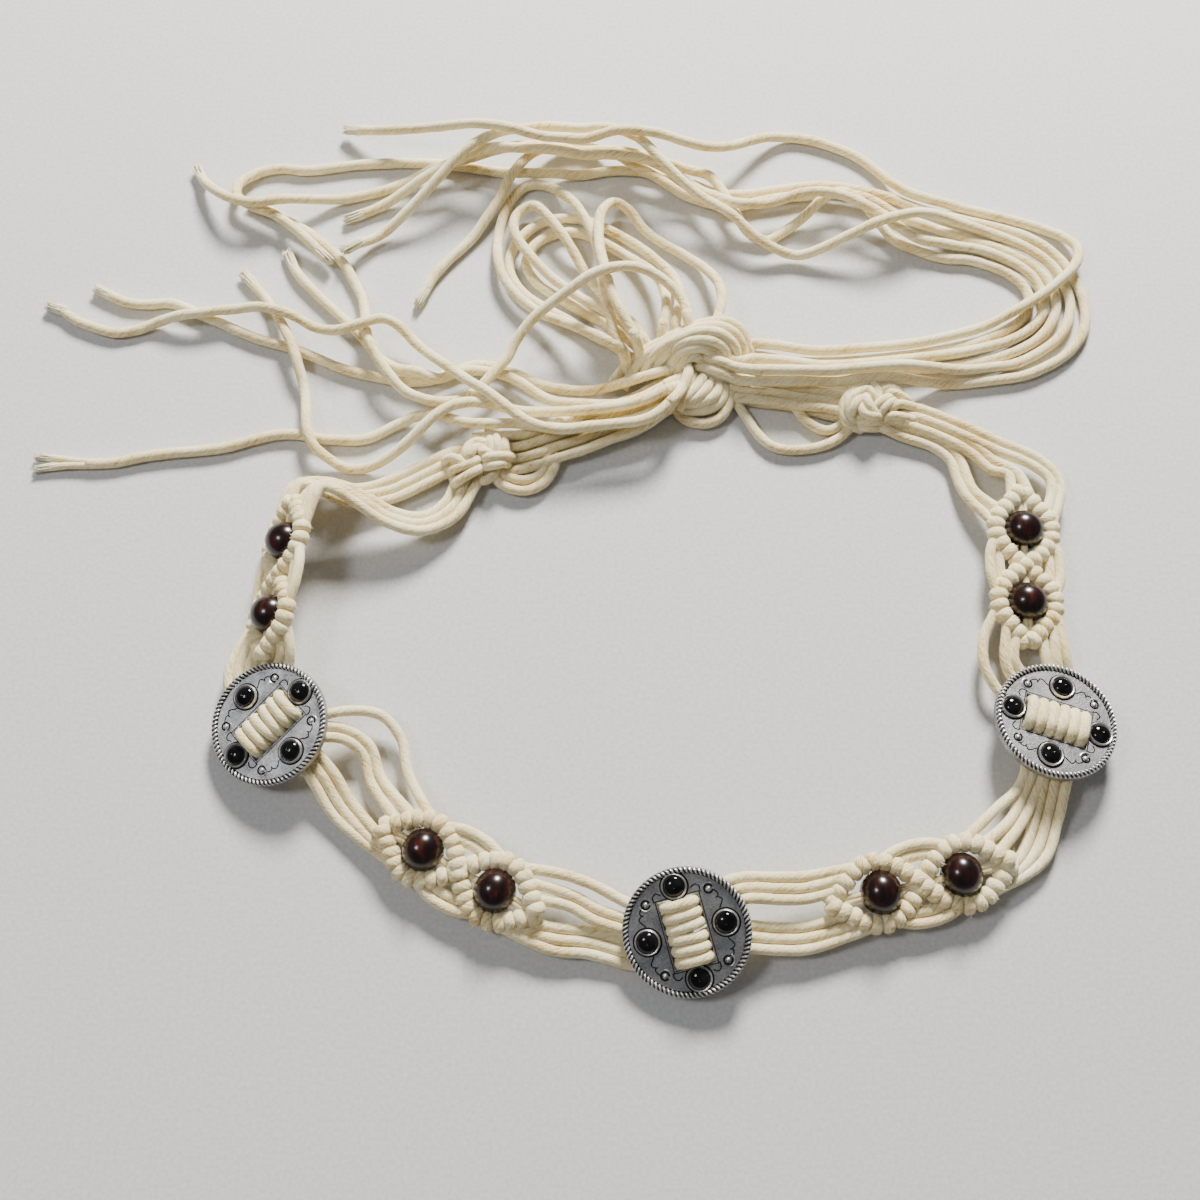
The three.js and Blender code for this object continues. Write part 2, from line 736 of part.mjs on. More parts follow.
// Loose cords in the order that they are laid: the bow's loop, with both ends at the tie
// knot, then the ties that run left and those that run right. A route is [x, y] from the
// knot outwards, and leave and enter are the heights of its ends at the knot.
const CORDS = [
  {
    name: "bow_loop_1", leave: 12, enter: 6,
    route: [
      [29, 108.5], [30.5, 117.5], [31, 128], [27, 138], [20, 146], [11, 153], [1, 159], [-10, 163],
      [-21, 162], [-30, 156], [-35.5, 147], [-35.5, 137], [-30, 128], [-20.5, 121],
      [-10, 114.5], [-1, 107.5], [4.5, 103.5], [9.5, 99.5],
    ],
  },
  {
    name: "bow_loop_2", leave: 12, enter: 8,
    route: [
      [24, 106.5], [25.5, 115], [25, 125], [21.5, 134], [15, 141.5], [7, 148], [-2, 153.5],
      [-11, 156.5], [-20, 155], [-27, 149.5], [-29.5, 141.5], [-25, 133], [-16, 126],
      [-6, 119], [3, 112], [8, 107.5], [12.5, 102.5],
    ],
  },
  {
    name: "bow_loop_3", leave: 9, enter: 9,
    route: [
      [17, 102.5], [13, 109.5], [7, 118], [1, 127], [-5.5, 137], [-12, 148], [-19, 158.5],
      [-27, 166.5], [-33, 163], [-34.5, 155], [-30, 146], [-23, 137.5], [-15, 130],
      [-6, 122], [3, 114.5], [8.5, 109], [13, 103],
    ],
  },
  {
    name: "bow_loop_4", leave: 6, enter: 6,
    route: [
      [8.5, 96], [5.5, 102], [4, 110], [2, 122], [0.5, 136], [-2, 150], [-7, 162], [-14, 172],
      [-22, 178.5], [-30, 178.5], [-36.5, 171], [-40, 160], [-41, 148], [-39, 136],
      [-33, 126], [-24, 118], [-13, 111], [-4, 104.5], [2, 100.5], [7.5, 97.5],
    ],
  },
  {
    name: "bow_loop_5", leave: 8, enter: 13,
    route: [
      [13.5, 99.5], [9.5, 106.5], [5, 116], [2, 128], [0, 140], [-0.5, 152], [1, 162], [6, 167.5],
      [12, 165], [17.5, 158], [25, 151.5], [34, 145.5], [41.5, 138.5], [46.5, 129.5],
      [47.5, 121], [46.5, 115], [45, 109.5],
    ],
  },
  {
    name: "tie_left_5", leave: 9,
    route: [
      [26.4, 75.2], [16, 70.2], [5, 67.2], [-8, 65.4], [-20, 65.6], [-32, 67.2],
      [-42, 67], [-49, 67.2], [-55.6, 69.2], [-62, 72.6], [-70, 73], [-77.8, 70.3],
      [-89, 64.6], [-100, 64.2], [-108, 64.9], [-115, 66.4], [-123, 66.4], [-132, 64.2],
      [-141, 61.4], [-152, 59.6], [-163, 58.6], [-174.4, 56.9], [-183, 54.8],
      [-192, 54.2], [-201, 54.6], [-207.8, 54.8], [-214, 54.8],
    ],
  },
  {
    name: "tie_left_2", leave: 8,
    route: [
      [26.4, 90.5], [16.7, 87.5], [5.6, 85.5], [-5.6, 85], [-15.6, 86], [-24.4, 88.3],
      [-33, 92.8], [-41, 95.6], [-50, 96], [-57.8, 92.8], [-66.7, 89.4], [-77.8, 89.4],
      [-89, 91.7], [-99, 94.4], [-107.8, 98.3], [-115.6, 101.7], [-124.4, 105],
      [-132, 107.2], [-141, 111], [-149, 115], [-156.7, 118.3], [-163, 121.7],
      [-170, 123.9], [-177.8, 123.3], [-185.6, 123.9], [-193, 127], [-200, 130.6],
    ],
  },
  {
    name: "tie_left_3", leave: 8,
    route: [
      [26.4, 84], [17, 78.5], [8, 75.5], [-8, 76], [-17, 78.5], [-24, 82.5],
      [-31, 87.5], [-37, 90.5], [-45, 92], [-54, 91.5], [-62, 88], [-70, 91],
      [-79, 93], [-86, 98.5], [-91, 106], [-97, 113], [-104, 120], [-113, 129],
      [-121, 138.5], [-125, 147.5],
    ],
  },
  {
    name: "tie_left_6", leave: 17,
    route: [
      [33.5, 108.5], [32.5, 114.5], [28.5, 120.5], [22, 125], [14, 127], [6, 126], [-2, 123.5],
      [-11, 118.5], [-20, 113], [-26.7, 108], [-32, 101.7], [-35.6, 95], [-40, 90],
      [-44.4, 84.5], [-50, 80], [-56, 77.2], [-63, 77], [-69, 79], [-75.6, 83],
      [-81, 89], [-86.5, 98], [-90, 106], [-91.5, 115], [-93.5, 125], [-98, 134.5],
      [-102, 141.7], [-109, 149.4], [-116.7, 156], [-125.6, 161.7], [-134.4, 167.2],
      [-142, 171],
    ],
  },
  {
    name: "tie_left_4", leave: 9,
    route: [
      [26.4, 80], [15, 74.5], [3, 72], [-10, 71.5], [-22, 73], [-35, 75], [-47, 75.5],
      [-56, 73], [-62, 69], [-69, 62.5], [-77, 56.5], [-86, 52.5], [-96, 52.2],
      [-102, 55], [-107.8, 59.4], [-111, 67], [-112, 75], [-113.5, 84], [-116, 93],
      [-119, 102], [-123, 110.6], [-127.8, 119.4], [-132, 126], [-137.8, 132.8],
      [-142, 138],
    ],
  },
  {
    name: "tie_left_1", leave: 12,
    route: [
      [27.5, 75], [22, 69.5], [15.6, 66.5], [5.6, 65], [-4.4, 64], [-13.3, 62.8],
      [-22, 63.9], [-29, 67.2], [-35.6, 72.8], [-42, 78.3], [-50, 83.9], [-57.8, 90.6],
      [-64.4, 96], [-71, 102.8], [-77.8, 109.4], [-84, 111.5], [-92, 109],
      [-101, 106.8], [-110, 109.4], [-119, 114.4], [-126.7, 117.2], [-135.6, 118.9],
      [-146.7, 118.3], [-156.7, 116.7], [-165.6, 116], [-174.4, 114.4], [-182, 111.7],
      [-190, 110.6], [-197.8, 112.8], [-205.6, 116], [-212, 120.6], [-218, 122.8],
    ],
  },
  {
    name: "tie_right_5", leave: 6,
    route: [
      [58.6, 84.8], [86, 85.6], [114, 87.2], [138, 88], [150, 89.5], [163.5, 91.5],
      [173, 95.5], [181, 100.5], [187, 107], [190.5, 115], [191, 124], [189, 133],
      [185, 141.5], [179, 149], [171, 154.5], [160, 158.5], [132, 166.5], [113, 174.5],
      [93, 178.5], [81, 178], [58.8, 174.5], [48, 175], [38, 179], [17, 185.5],
      [5, 186], [-7, 184], [-33, 183.5], [-45, 186], [-70, 189.5], [-97, 189],
      [-120, 186], [-131, 187], [-140, 184.5], [-146.5, 178], [-146, 171],
      [-140, 166.5], [-131, 162.5], [-120, 154], [-107, 141.5],
    ],
  },
  {
    name: "tie_right_4", leave: 4,
    route: [
      [58.6, 91.5], [86, 91], [114, 93.5], [138, 96], [150, 98.5], [161, 102],
      [170, 107], [176.5, 114], [180, 123.5], [178.5, 132.5], [173.5, 140],
      [166, 145.5], [158, 149.5], [150, 152], [132, 159.5], [122, 163.5], [113, 169],
      [104, 172.5], [93, 173.8], [81, 173.2], [67, 171], [55, 168.5], [45, 170],
      [34, 174], [23, 180], [13, 186], [5, 192], [-8, 197.8], [-17, 196.7],
      [-24.4, 192.8], [-31, 186], [-35.6, 179.4], [-40, 170.6], [-45.6, 161.7],
      [-52, 152.8], [-61, 142.8], [-66.7, 135], [-72, 123],
    ],
  },
  {
    name: "tie_right_6", leave: 5,
    route: [
      [58.6, 98.8], [86, 97.5], [114, 99.8], [138, 104], [150, 107.5], [158.5, 111.5],
      [165.5, 116.5], [169.5, 123.5], [168, 131.5], [162, 137.5], [148, 143.5],
      [137, 144.5], [127, 148], [119, 152], [112, 159.5], [105, 167], [97.6, 171.5],
      [90.6, 169.5], [82.4, 162.6], [73, 156.2], [67, 152.6], [60, 155],
      [55.3, 160.9], [48.2, 175], [43.5, 181], [34, 184], [24, 185.5], [0, 190],
      [-25, 190.5], [-50, 189], [-66.7, 184.5], [-89, 176], [-100, 173], [-126, 167],
      [-137, 165], [-146, 166.5], [-154, 172], [-161, 180], [-165, 188],
    ],
  },
  {
    name: "tie_right_2", leave: 7,
    route: [
      [58.6, 95], [86, 94.2], [100, 95], [114, 96.4], [138, 100], [150, 103],
      [160, 106.5], [168, 111.5], [173.5, 118], [175, 126], [172, 134], [166, 140],
      [158, 144.5], [150, 147.5], [140, 149], [128, 150.5], [119, 155], [109.4, 161],
      [100, 166], [90.6, 168.5], [78.8, 168.5], [70.6, 166.8], [62.4, 164.4],
      [53, 164.4], [44, 169], [34, 176], [24, 180.5], [13, 184], [-10, 186],
      [-33, 187], [-45, 187.5], [-53, 186], [-63, 182], [-72, 177.5], [-82, 172],
      [-91, 167.5], [-103, 162],
    ],
  },
  {
    name: "tie_right_3", leave: 9,
    route: [
      [58.6, 88], [86, 88], [114, 90.3], [138, 92.2], [150, 94], [162, 97],
      [178.5, 107.5], [183.5, 115], [185.5, 124], [183.5, 133], [178.5, 141],
      [171, 147.5], [161, 153], [150, 156.5], [132, 159.5], [120, 157], [97, 149.5],
      [88, 146.5], [79, 145], [68, 147.5], [60, 152], [53, 158], [38, 167.5],
      [30, 173.5], [23, 181], [17.8, 188], [12, 194], [6.7, 198], [0, 201], [-8, 202],
      [-17, 201], [-28, 197.5], [-47, 188.5], [-56, 182], [-64.4, 174],
      [-82, 158.5], [-102, 145],
    ],
  },
  {
    name: "tie_right_1", leave: 8,
    route: [
      [58.6, 102.5], [86, 101], [100, 102], [114, 103], [127, 105], [138, 108],
      [149.5, 112], [161, 117.5], [172, 124], [181.5, 131.5], [188, 139], [190, 147],
      [186, 153.5], [178, 158], [167, 162], [155, 165.5], [143.5, 168.5], [132, 171],
      [123.5, 174.5], [117.6, 180], [111.8, 187], [104.7, 193], [97, 197],
      [88, 200.5], [79, 202], [69.4, 200.5], [61, 196], [53, 191], [43.5, 188],
      [32, 188], [20, 190], [5, 191.5], [-10, 189.5], [-27, 189.5], [-40, 191.5],
      [-67, 195.5], [-80, 198], [-92, 201], [-105, 205],
    ],
  },
];

// What a cord is laid over, as balls: first the knots and tails of the band.
function turnBalls(turn) {
  const radius = Math.min(turn.wide, turn.thick) / 2;
  const spread = Math.max(turn.wide - turn.thick, 0) / 2;
  const curve = new THREE.CatmullRomCurve3(turn.route.map(([x, y, z]) => point(x, y, z)));
  const count = Math.ceil(curve.getLength() / LAY_STEP);
  const shares = spread > 0 ? [-1, -0.5, 0, 0.5, 1] : [0];
  const balls = [];
  for (let i = 0; i <= count; i += 1) {
    const centre = curve.getPointAt(i / count);
    const aside = new THREE.Vector3().crossVectors(curve.getTangentAt(i / count), up);
    for (const share of shares) {
      balls.push({ at: centre.clone().addScaledVector(aside, share * spread), radius });
    }
  }
  return balls;
}

// The lowest height that clears the balls, at one point of a route.
function heightOver(spot, balls) {
  let height = CORD_RADIUS;
  for (const ball of balls) {
    const reach = ball.radius + CORD_RADIUS + LAY_GAP;
    const x = spot.x - ball.at.x;
    const y = spot.y - ball.at.y;
    const aside = x * x + y * y;
    if (aside < reach * reach) {
      height = Math.max(height, ball.at.z + Math.sqrt(reach * reach - aside));
    }
  }
  return height;
}

function average(values, half) {
  const last = values.length - 1;
  return values.map((_, index) => {
    const reach = Math.min(half, index, last - index);
    const window = values.slice(index - reach, index + reach + 1);
    return window.reduce((sum, value) => sum + value, 0) / window.length;
  });
}

// A cord lies on the floor, or passes over what is there in a long low hump.
function layCord(row, balls) {
  const curve = new THREE.CatmullRomCurve3(row.route.map(([x, y]) => point(x, y, 0)));
  const count = Math.round(curve.getLength() / LAY_STEP);
  const path = curve.getSpacedPoints(count);
  const own = [];
  const fall = LAY_SLOPE * LAY_STEP;
  const lows = path.map((spot, index) => {
    const before = own.slice(0, Math.max(index - LAY_SELF, 0));
    const held = Math.max(row.leave - index * fall, (row.enter ?? 0) - (count - index) * fall);
    const height = Math.max(heightOver(spot, balls), heightOver(spot, before), held);
    own.push({ at: point(spot.x, spot.y, height), radius: CORD_RADIUS });
    return height;
  });
  let heights = lows.map((_, index) =>
    Math.max(...lows.slice(Math.max(index - LAY_HOLD, 0), index + LAY_HOLD + 1))
  );
  for (let i = 1; i <= count; i += 1) {
    heights[i] = Math.max(heights[i], heights[i - 1] - fall);
  }
  for (let i = count - 1; i >= 0; i -= 1) {
    heights[i] = Math.max(heights[i], heights[i + 1] - fall);
  }
  heights = average(average(heights, 1), 2);
  return path.map((spot, index) => point(spot.x, spot.y, heights[index]));
}

// Leaves out the points of a path that lie on the straight between their neighbours.
function thin(path) {
  const line = new THREE.Line3(path[0], path[path.length - 1]);
  const foot = new THREE.Vector3();
  let farthest = 0;
  let middle = 0;
  path.forEach((spot, index) => {
    line.closestPointToPoint(spot, true, foot);
    const away = foot.distanceTo(spot);
    if (away > farthest) {
      farthest = away;
      middle = index;
    }
  });
  if (farthest < THIN_TOLERANCE) {
    return [path[0], path[path.length - 1]];
  }
  return [...thin(path.slice(0, middle + 1)).slice(0, -1), ...thin(path.slice(middle))];
}

function largestBody(solid) {
  return solid.decompose().reduce((best, next) => (next.volume() > best.volume() ? next : best));
}

const knotRoom = squareKnotRooms.reduce((sum, room) => sum.add(room), tieKnotRoom);
const laid = BAND_ENDS.flatMap((row) => row.turns.flatMap(turnBalls));
const cordNames = [];
for (const row of CORDS) {
  const path = layCord(row, laid);
  const cord = toSolid(tube(thin(path), CORD_RADIUS, LOOSE_SIDES));
  addNode(row.name, toGeometry(largestBody(cord.subtract(knotRoom))), "cotton");
  laid.push(...path.map((at) => ({ at, radius: CORD_RADIUS })));
  cordNames.push(row.name);
}

// The belt without its loose cords stands centred on the origin, on the floor.
const footprint = new THREE.Box3();
for (const mesh of belt.children) {
  if (!cordNames.includes(mesh.name)) {
    footprint.expandByObject(mesh);
  }
}
const middle = footprint.getCenter(new THREE.Vector3());
belt.position.set(-middle.x, -middle.y, -footprint.min.z);

export default belt;
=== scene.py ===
"""A belt knotted from cotton cord, with three metal conchos and eight dark beads, lying in
a loop on a pale floor with its ties spread out. All sizes are in metres."""

import math

import bpy
import numpy as np
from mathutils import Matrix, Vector


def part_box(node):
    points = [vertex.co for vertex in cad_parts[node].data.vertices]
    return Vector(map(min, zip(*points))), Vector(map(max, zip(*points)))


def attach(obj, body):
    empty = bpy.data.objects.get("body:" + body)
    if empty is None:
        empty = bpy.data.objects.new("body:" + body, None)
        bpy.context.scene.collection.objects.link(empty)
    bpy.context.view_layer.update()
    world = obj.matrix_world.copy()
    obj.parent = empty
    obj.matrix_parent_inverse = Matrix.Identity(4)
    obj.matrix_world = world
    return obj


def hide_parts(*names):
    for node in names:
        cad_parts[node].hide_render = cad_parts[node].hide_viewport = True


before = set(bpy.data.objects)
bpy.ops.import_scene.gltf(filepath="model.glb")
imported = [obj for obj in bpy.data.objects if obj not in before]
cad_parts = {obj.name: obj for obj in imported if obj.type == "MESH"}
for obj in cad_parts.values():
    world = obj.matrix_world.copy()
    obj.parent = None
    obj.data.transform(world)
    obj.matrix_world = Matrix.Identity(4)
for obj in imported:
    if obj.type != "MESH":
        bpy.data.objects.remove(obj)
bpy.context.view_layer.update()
rng = np.random.default_rng(7)

# Cords, as in the solids.
CORD_RADIUS = 0.0020
STRAND_RADIUS = 0.0019
KNOT_CORD_RADIUS = 0.00176
STRAND_PITCH = 0.00376
STRANDS = 6
CORD_SIDES = 14
RING_STEP = 0.0013

# Loose fibres, so many to a millimetre of cord: each a sliver of two short bent parts, painted paler
# than the cord as painted light.
HAIRS = 4.0
HAIR_REACH = (0.0006, 0.0018)
HAIR_WIDTH = (0.00004, 0.00008)
HAIR_BEND = (0.2, 1.1)
HAIR_PART = 0.6
HAIR_OUTWARDS = (0.62, 0.35)
HAIR_RISE = 0.1
HAIR_TAPER = 0.6
HAIR_SEAT = 0.96
HAIR_PAINTED_LIGHT = 0.9

# Frayed ends of the ties. What is a pair of numbers is a range, apart from the widths, from
# root to tip. Widths, seat, mouth and flare are shares of the cord's radius.
FRAY_TUFTS = 60
FRAY_LENGTH = 0.0068
FRAY_ROOT = 0.0022
FRAY_STEP = 0.0012
FRAY_SIDES = 5
FRAY_WIDTHS = (0.3, 0.07)
FRAY_SEAT = 0.66
FRAY_MOUTH = (0.78, 0.95)
FRAY_FLARE = (0.75, 1.2)
FRAY_REACH = (0.7, 1.15)
FRAY_TURN = 2.4
# The tufts' tone makes them paler than the cord: painted light that offsets the shade between the
# tufts.
FRAY_PAINTED_LIGHT = 0.95
CUT_END = (0.97, 0.82)

# The last stretch of one tie has come apart into two thinner strands.
SPLIT_TIES = ("tie_left_5",)
SPLIT_LENGTH = 0.02
SPLIT_RADIUS = 0.0014
SPLIT_START = 0.0007
SPLIT_SPREAD = 0.0027
SPLIT_BEND = 1.4

# How a cord's thickness varies along it: two waves, each with its share and its radians to
# a ring of points, and a roughness.
SHORT_WAVE = (0.018, 0.9)
LONG_WAVE = (0.02, 0.31)
ROUGHNESS = 0.008

# How the loose cords are laid: on the floor, or over the cords before them.
LAY_STEP = 0.002
LAY_GAP = 0.0007
LAY_SLOPE = 0.36
LAY_HOLD = 3
LAY_SELF = 12

# Conchos.
CONCHO_RADIUS = 0.02175
PLATE_THICKNESS = 0.0025
SLOT_INNER = 0.0019
SLOT_OUTER = 0.0072
SLOT_HALF_WIDTH = 0.0118
STONE_RADIUS = 0.0036
STONE_RISE = 0.0025
STONE_WALL = 0.0005
STONE_ALONG = 0.0136
STONE_ACROSS = 0.0157
SEAT_GAP = 0.0003

# Tones: of the metal, from a black hollow to a rubbed edge, and of all that has no hollows.
HOLLOW = 0.0
CUP_GROOVE = 0.02
EDGE_GROOVE = 0.03
MID_TONE = 0.5
FACE = 0.52
RAISED = 0.75
POLISHED = 0.8
RUBBED = 0.85

# Beads and the knotted rows round them.
BEAD_RADIUS = 0.0075
BEAD_LENGTH = 0.0138
BEAD_BORE = 0.0022
BEAD_SIDES = 40
BEAD_RINGS = 22
BEAD_FROM_MIDDLE = 0.0142
DIAMOND_HALF_LENGTH = 0.031
HITCH_PITCH = 0.0039
HITCH_REACH = 0.00172
HITCH_THICK = 0.00172
HITCH_VARIES = (0.96, 1.04)
ROW_STEP = 0.0005
ROW_CORE_RADIUS = 0.0017
BEAD_CORD_RADIUS = 0.0011
BEAD_CORD_OFFSET = 0.0009

# The camera stands here from the point that it looks at.
CAMERA_PLACE = (0.0, -0.1886, 0.5182)
CAMERA_LENS = 45
CAMERA_SENSOR = 36

UP = np.array([0.0, 0.0, 1.0])
MM_PER_METRE = 1000


def vec(*values):
    return np.array(values, dtype=float)


def unit(vector):
    return vector / np.linalg.norm(vector)


class Spot:
    """A frame on the belt: along the band, across it, and out of its face."""

    def __init__(self, origin, along, normal):
        self.origin = origin
        self.along = along
        self.out = unit(normal - along * np.dot(normal, along))
        self.across = np.cross(self.out, self.along)
        self.stretch = 1.0

    def place(self, along, across, out):
        return self.origin + self.along * along + self.across * across + self.out * out

    def place_all(self, points):
        basis = np.array([self.along, self.across, self.out])
        return self.origin + np.asarray(points) @ basis


# Pairs of diamonds and conchos, in a frame whose origin is where the camera looks.
PAIRS = [
    {"name": "left", "start": (-0.1125, 0.0345, 0.0125), "end": (-0.1195, -0.0265, 0.0125),
     "roll": 48},
    {"name": "front_left", "start": (-0.075, -0.0855, 0.0076), "end": (-0.0208, -0.1156, 0.0082),
     "roll": 12},
    {"name": "front_right", "start": (0.0772, -0.112, 0.008), "end": (0.1406, -0.098, 0.0076),
     "roll": 12},
    {"name": "right", "start": (0.1538, -0.0195, 0.0078), "end": (0.1568, 0.0405, 0.0078),
     "roll": 5},
]
CONCHOS = [
    {"name": "left", "at": (-0.1155, -0.05, 0.0102), "heading": -47, "lean": (-15, -5)},
    {"name": "front", "at": (0.029, -0.1215, 0.0106), "heading": 16, "lean": (-8, -17)},
    {"name": "right", "at": (0.1595, -0.049, 0.0096), "heading": 72, "lean": (6, 9)},
]


def pair_spot(row, shift):
    start = np.array(row["start"]) + shift
    end = np.array(row["end"]) + shift
    along = unit(end - start)
    outward = unit(np.cross(along, UP))
    roll = math.radians(row["roll"])
    normal = UP * math.cos(roll) + outward * math.sin(roll)
    spot = Spot((start + end) / 2, along, normal)
    spot.stretch = np.linalg.norm(end - start) / (2 * DIAMOND_HALF_LENGTH)
    return spot


def concho_spot(row, shift):
    lean_x, lean_y = (math.tan(math.radians(lean)) for lean in row["lean"])
    normal = unit(vec(lean_x, lean_y, 1))
    heading = math.radians(row["heading"])
    flat = vec(math.cos(heading), math.sin(heading), 0)
    return Spot(np.array(row["at"]) + shift, unit(flat - normal * np.dot(flat, normal)), normal)


def find_shift():
    """The solids stand centred on the origin: one bead tells how far that is from the
    camera's aim."""
    low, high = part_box("bead_front_left_1")
    plain = pair_spot(PAIRS[1], np.zeros(3))
    return (np.array(low) + np.array(high)) / 2 - plain.place(-BEAD_FROM_MIDDLE, 0, 0)


SHIFT = find_shift()
pair_spots = {row["name"]: pair_spot(row, SHIFT) for row in PAIRS}
concho_spots = {row["name"]: concho_spot(row, SHIFT) for row in CONCHOS}


def make_camera():
    """The photograph looks down at the belt from its front, 70 degrees above the floor."""
    data = bpy.data.cameras.new("camera")
    data.lens = CAMERA_LENS
    data.sensor_width = CAMERA_SENSOR
    data.clip_start = 0.01
    camera = bpy.data.objects.new("camera", data)
    bpy.context.collection.objects.link(camera)
    place = Vector(CAMERA_PLACE) + Vector(SHIFT)
    camera.location = place
    aim = Vector(SHIFT) - place
    camera.rotation_euler = aim.to_track_quat("-Z", "Y").to_euler()
    bpy.context.scene.camera = camera


make_camera()


# Curves.
def spline(points, step):
    """A centripetal Catmull-Rom curve through the points, resampled at an even step."""
    points = np.asarray(points, dtype=float)
    first = 2 * points[0] - points[1]
    last = 2 * points[-1] - points[-2]
    padded = np.vstack([first, points, last])
    dense = []
    shares = np.linspace(0, 1, 16, endpoint=False)[:, None]
    for before, start, end, after in zip(padded, padded[1:], padded[2:], padded[3:]):
        gaps = [max(np.linalg.norm(b - a), 1e-9) ** 0.5
                for a, b in ((before, start), (start, end), (end, after))]
        leave = ((start - before) / gaps[0] - (end - before) / (gaps[0] + gaps[1])
                 + (end - start) / gaps[1]) * gaps[1]
        arrive = ((end - start) / gaps[1] - (after - start) / (gaps[1] + gaps[2])
                  + (after - end) / gaps[2]) * gaps[1]
        dense.append(start + leave * shares
                     + (3 * (end - start) - 2 * leave - arrive) * shares**2
                     + (2 * (start - end) + leave + arrive) * shares**3)
    dense = np.vstack(dense + [points[-1:]])
    return resample(dense, step)


def resample(path, step):
    lengths = distances(path)
    count = max(int(round(lengths[-1] / step)), 2)
    even = np.linspace(0, lengths[-1], count + 1)
    return np.column_stack([np.interp(even, lengths, path[:, axis]) for axis in range(3)])


def path_length(path):
    return float(np.linalg.norm(np.diff(path, axis=0), axis=1).sum())


def units(vectors):
    return vectors / np.linalg.norm(vectors, axis=1)[:, None]


def distances(path):
    """How far along the path each of its points is."""
    return np.concatenate([[0], np.cumsum(np.linalg.norm(np.diff(path, axis=0), axis=1))])


def path_frames(path):
    """Tangents and two steady side directions along a path."""
    tangents = units(np.gradient(path, axis=0))
    normals = np.empty_like(tangents)
    normal = UP - tangents[0] * np.dot(UP, tangents[0])
    if np.linalg.norm(normal) < 0.1:
        normal = vec(1, 0, 0) - tangents[0] * tangents[0][0]
    for index, tangent in enumerate(tangents):
        normal = unit(normal - tangent * np.dot(normal, tangent))
        normals[index] = normal
    return tangents, normals, np.cross(tangents, normals)


def bands(count, rows, sides, heights):
    """The faces and UVs between rings of points, each ring joined to the next."""
    faces, uvs = [], []
    for row in range(count):
        following = (row + 1) % rows
        low, high = heights[row], heights[row + 1]
        for side in range(sides):
            other = (side + 1) % sides
            faces.append((row * sides + side, row * sides + other,
                          following * sides + other, following * sides + side))
            uvs.extend([(side / sides, low), ((side + 1) / sides, low),
                        ((side + 1) / sides, high), (side / sides, high)])
    return faces, uvs


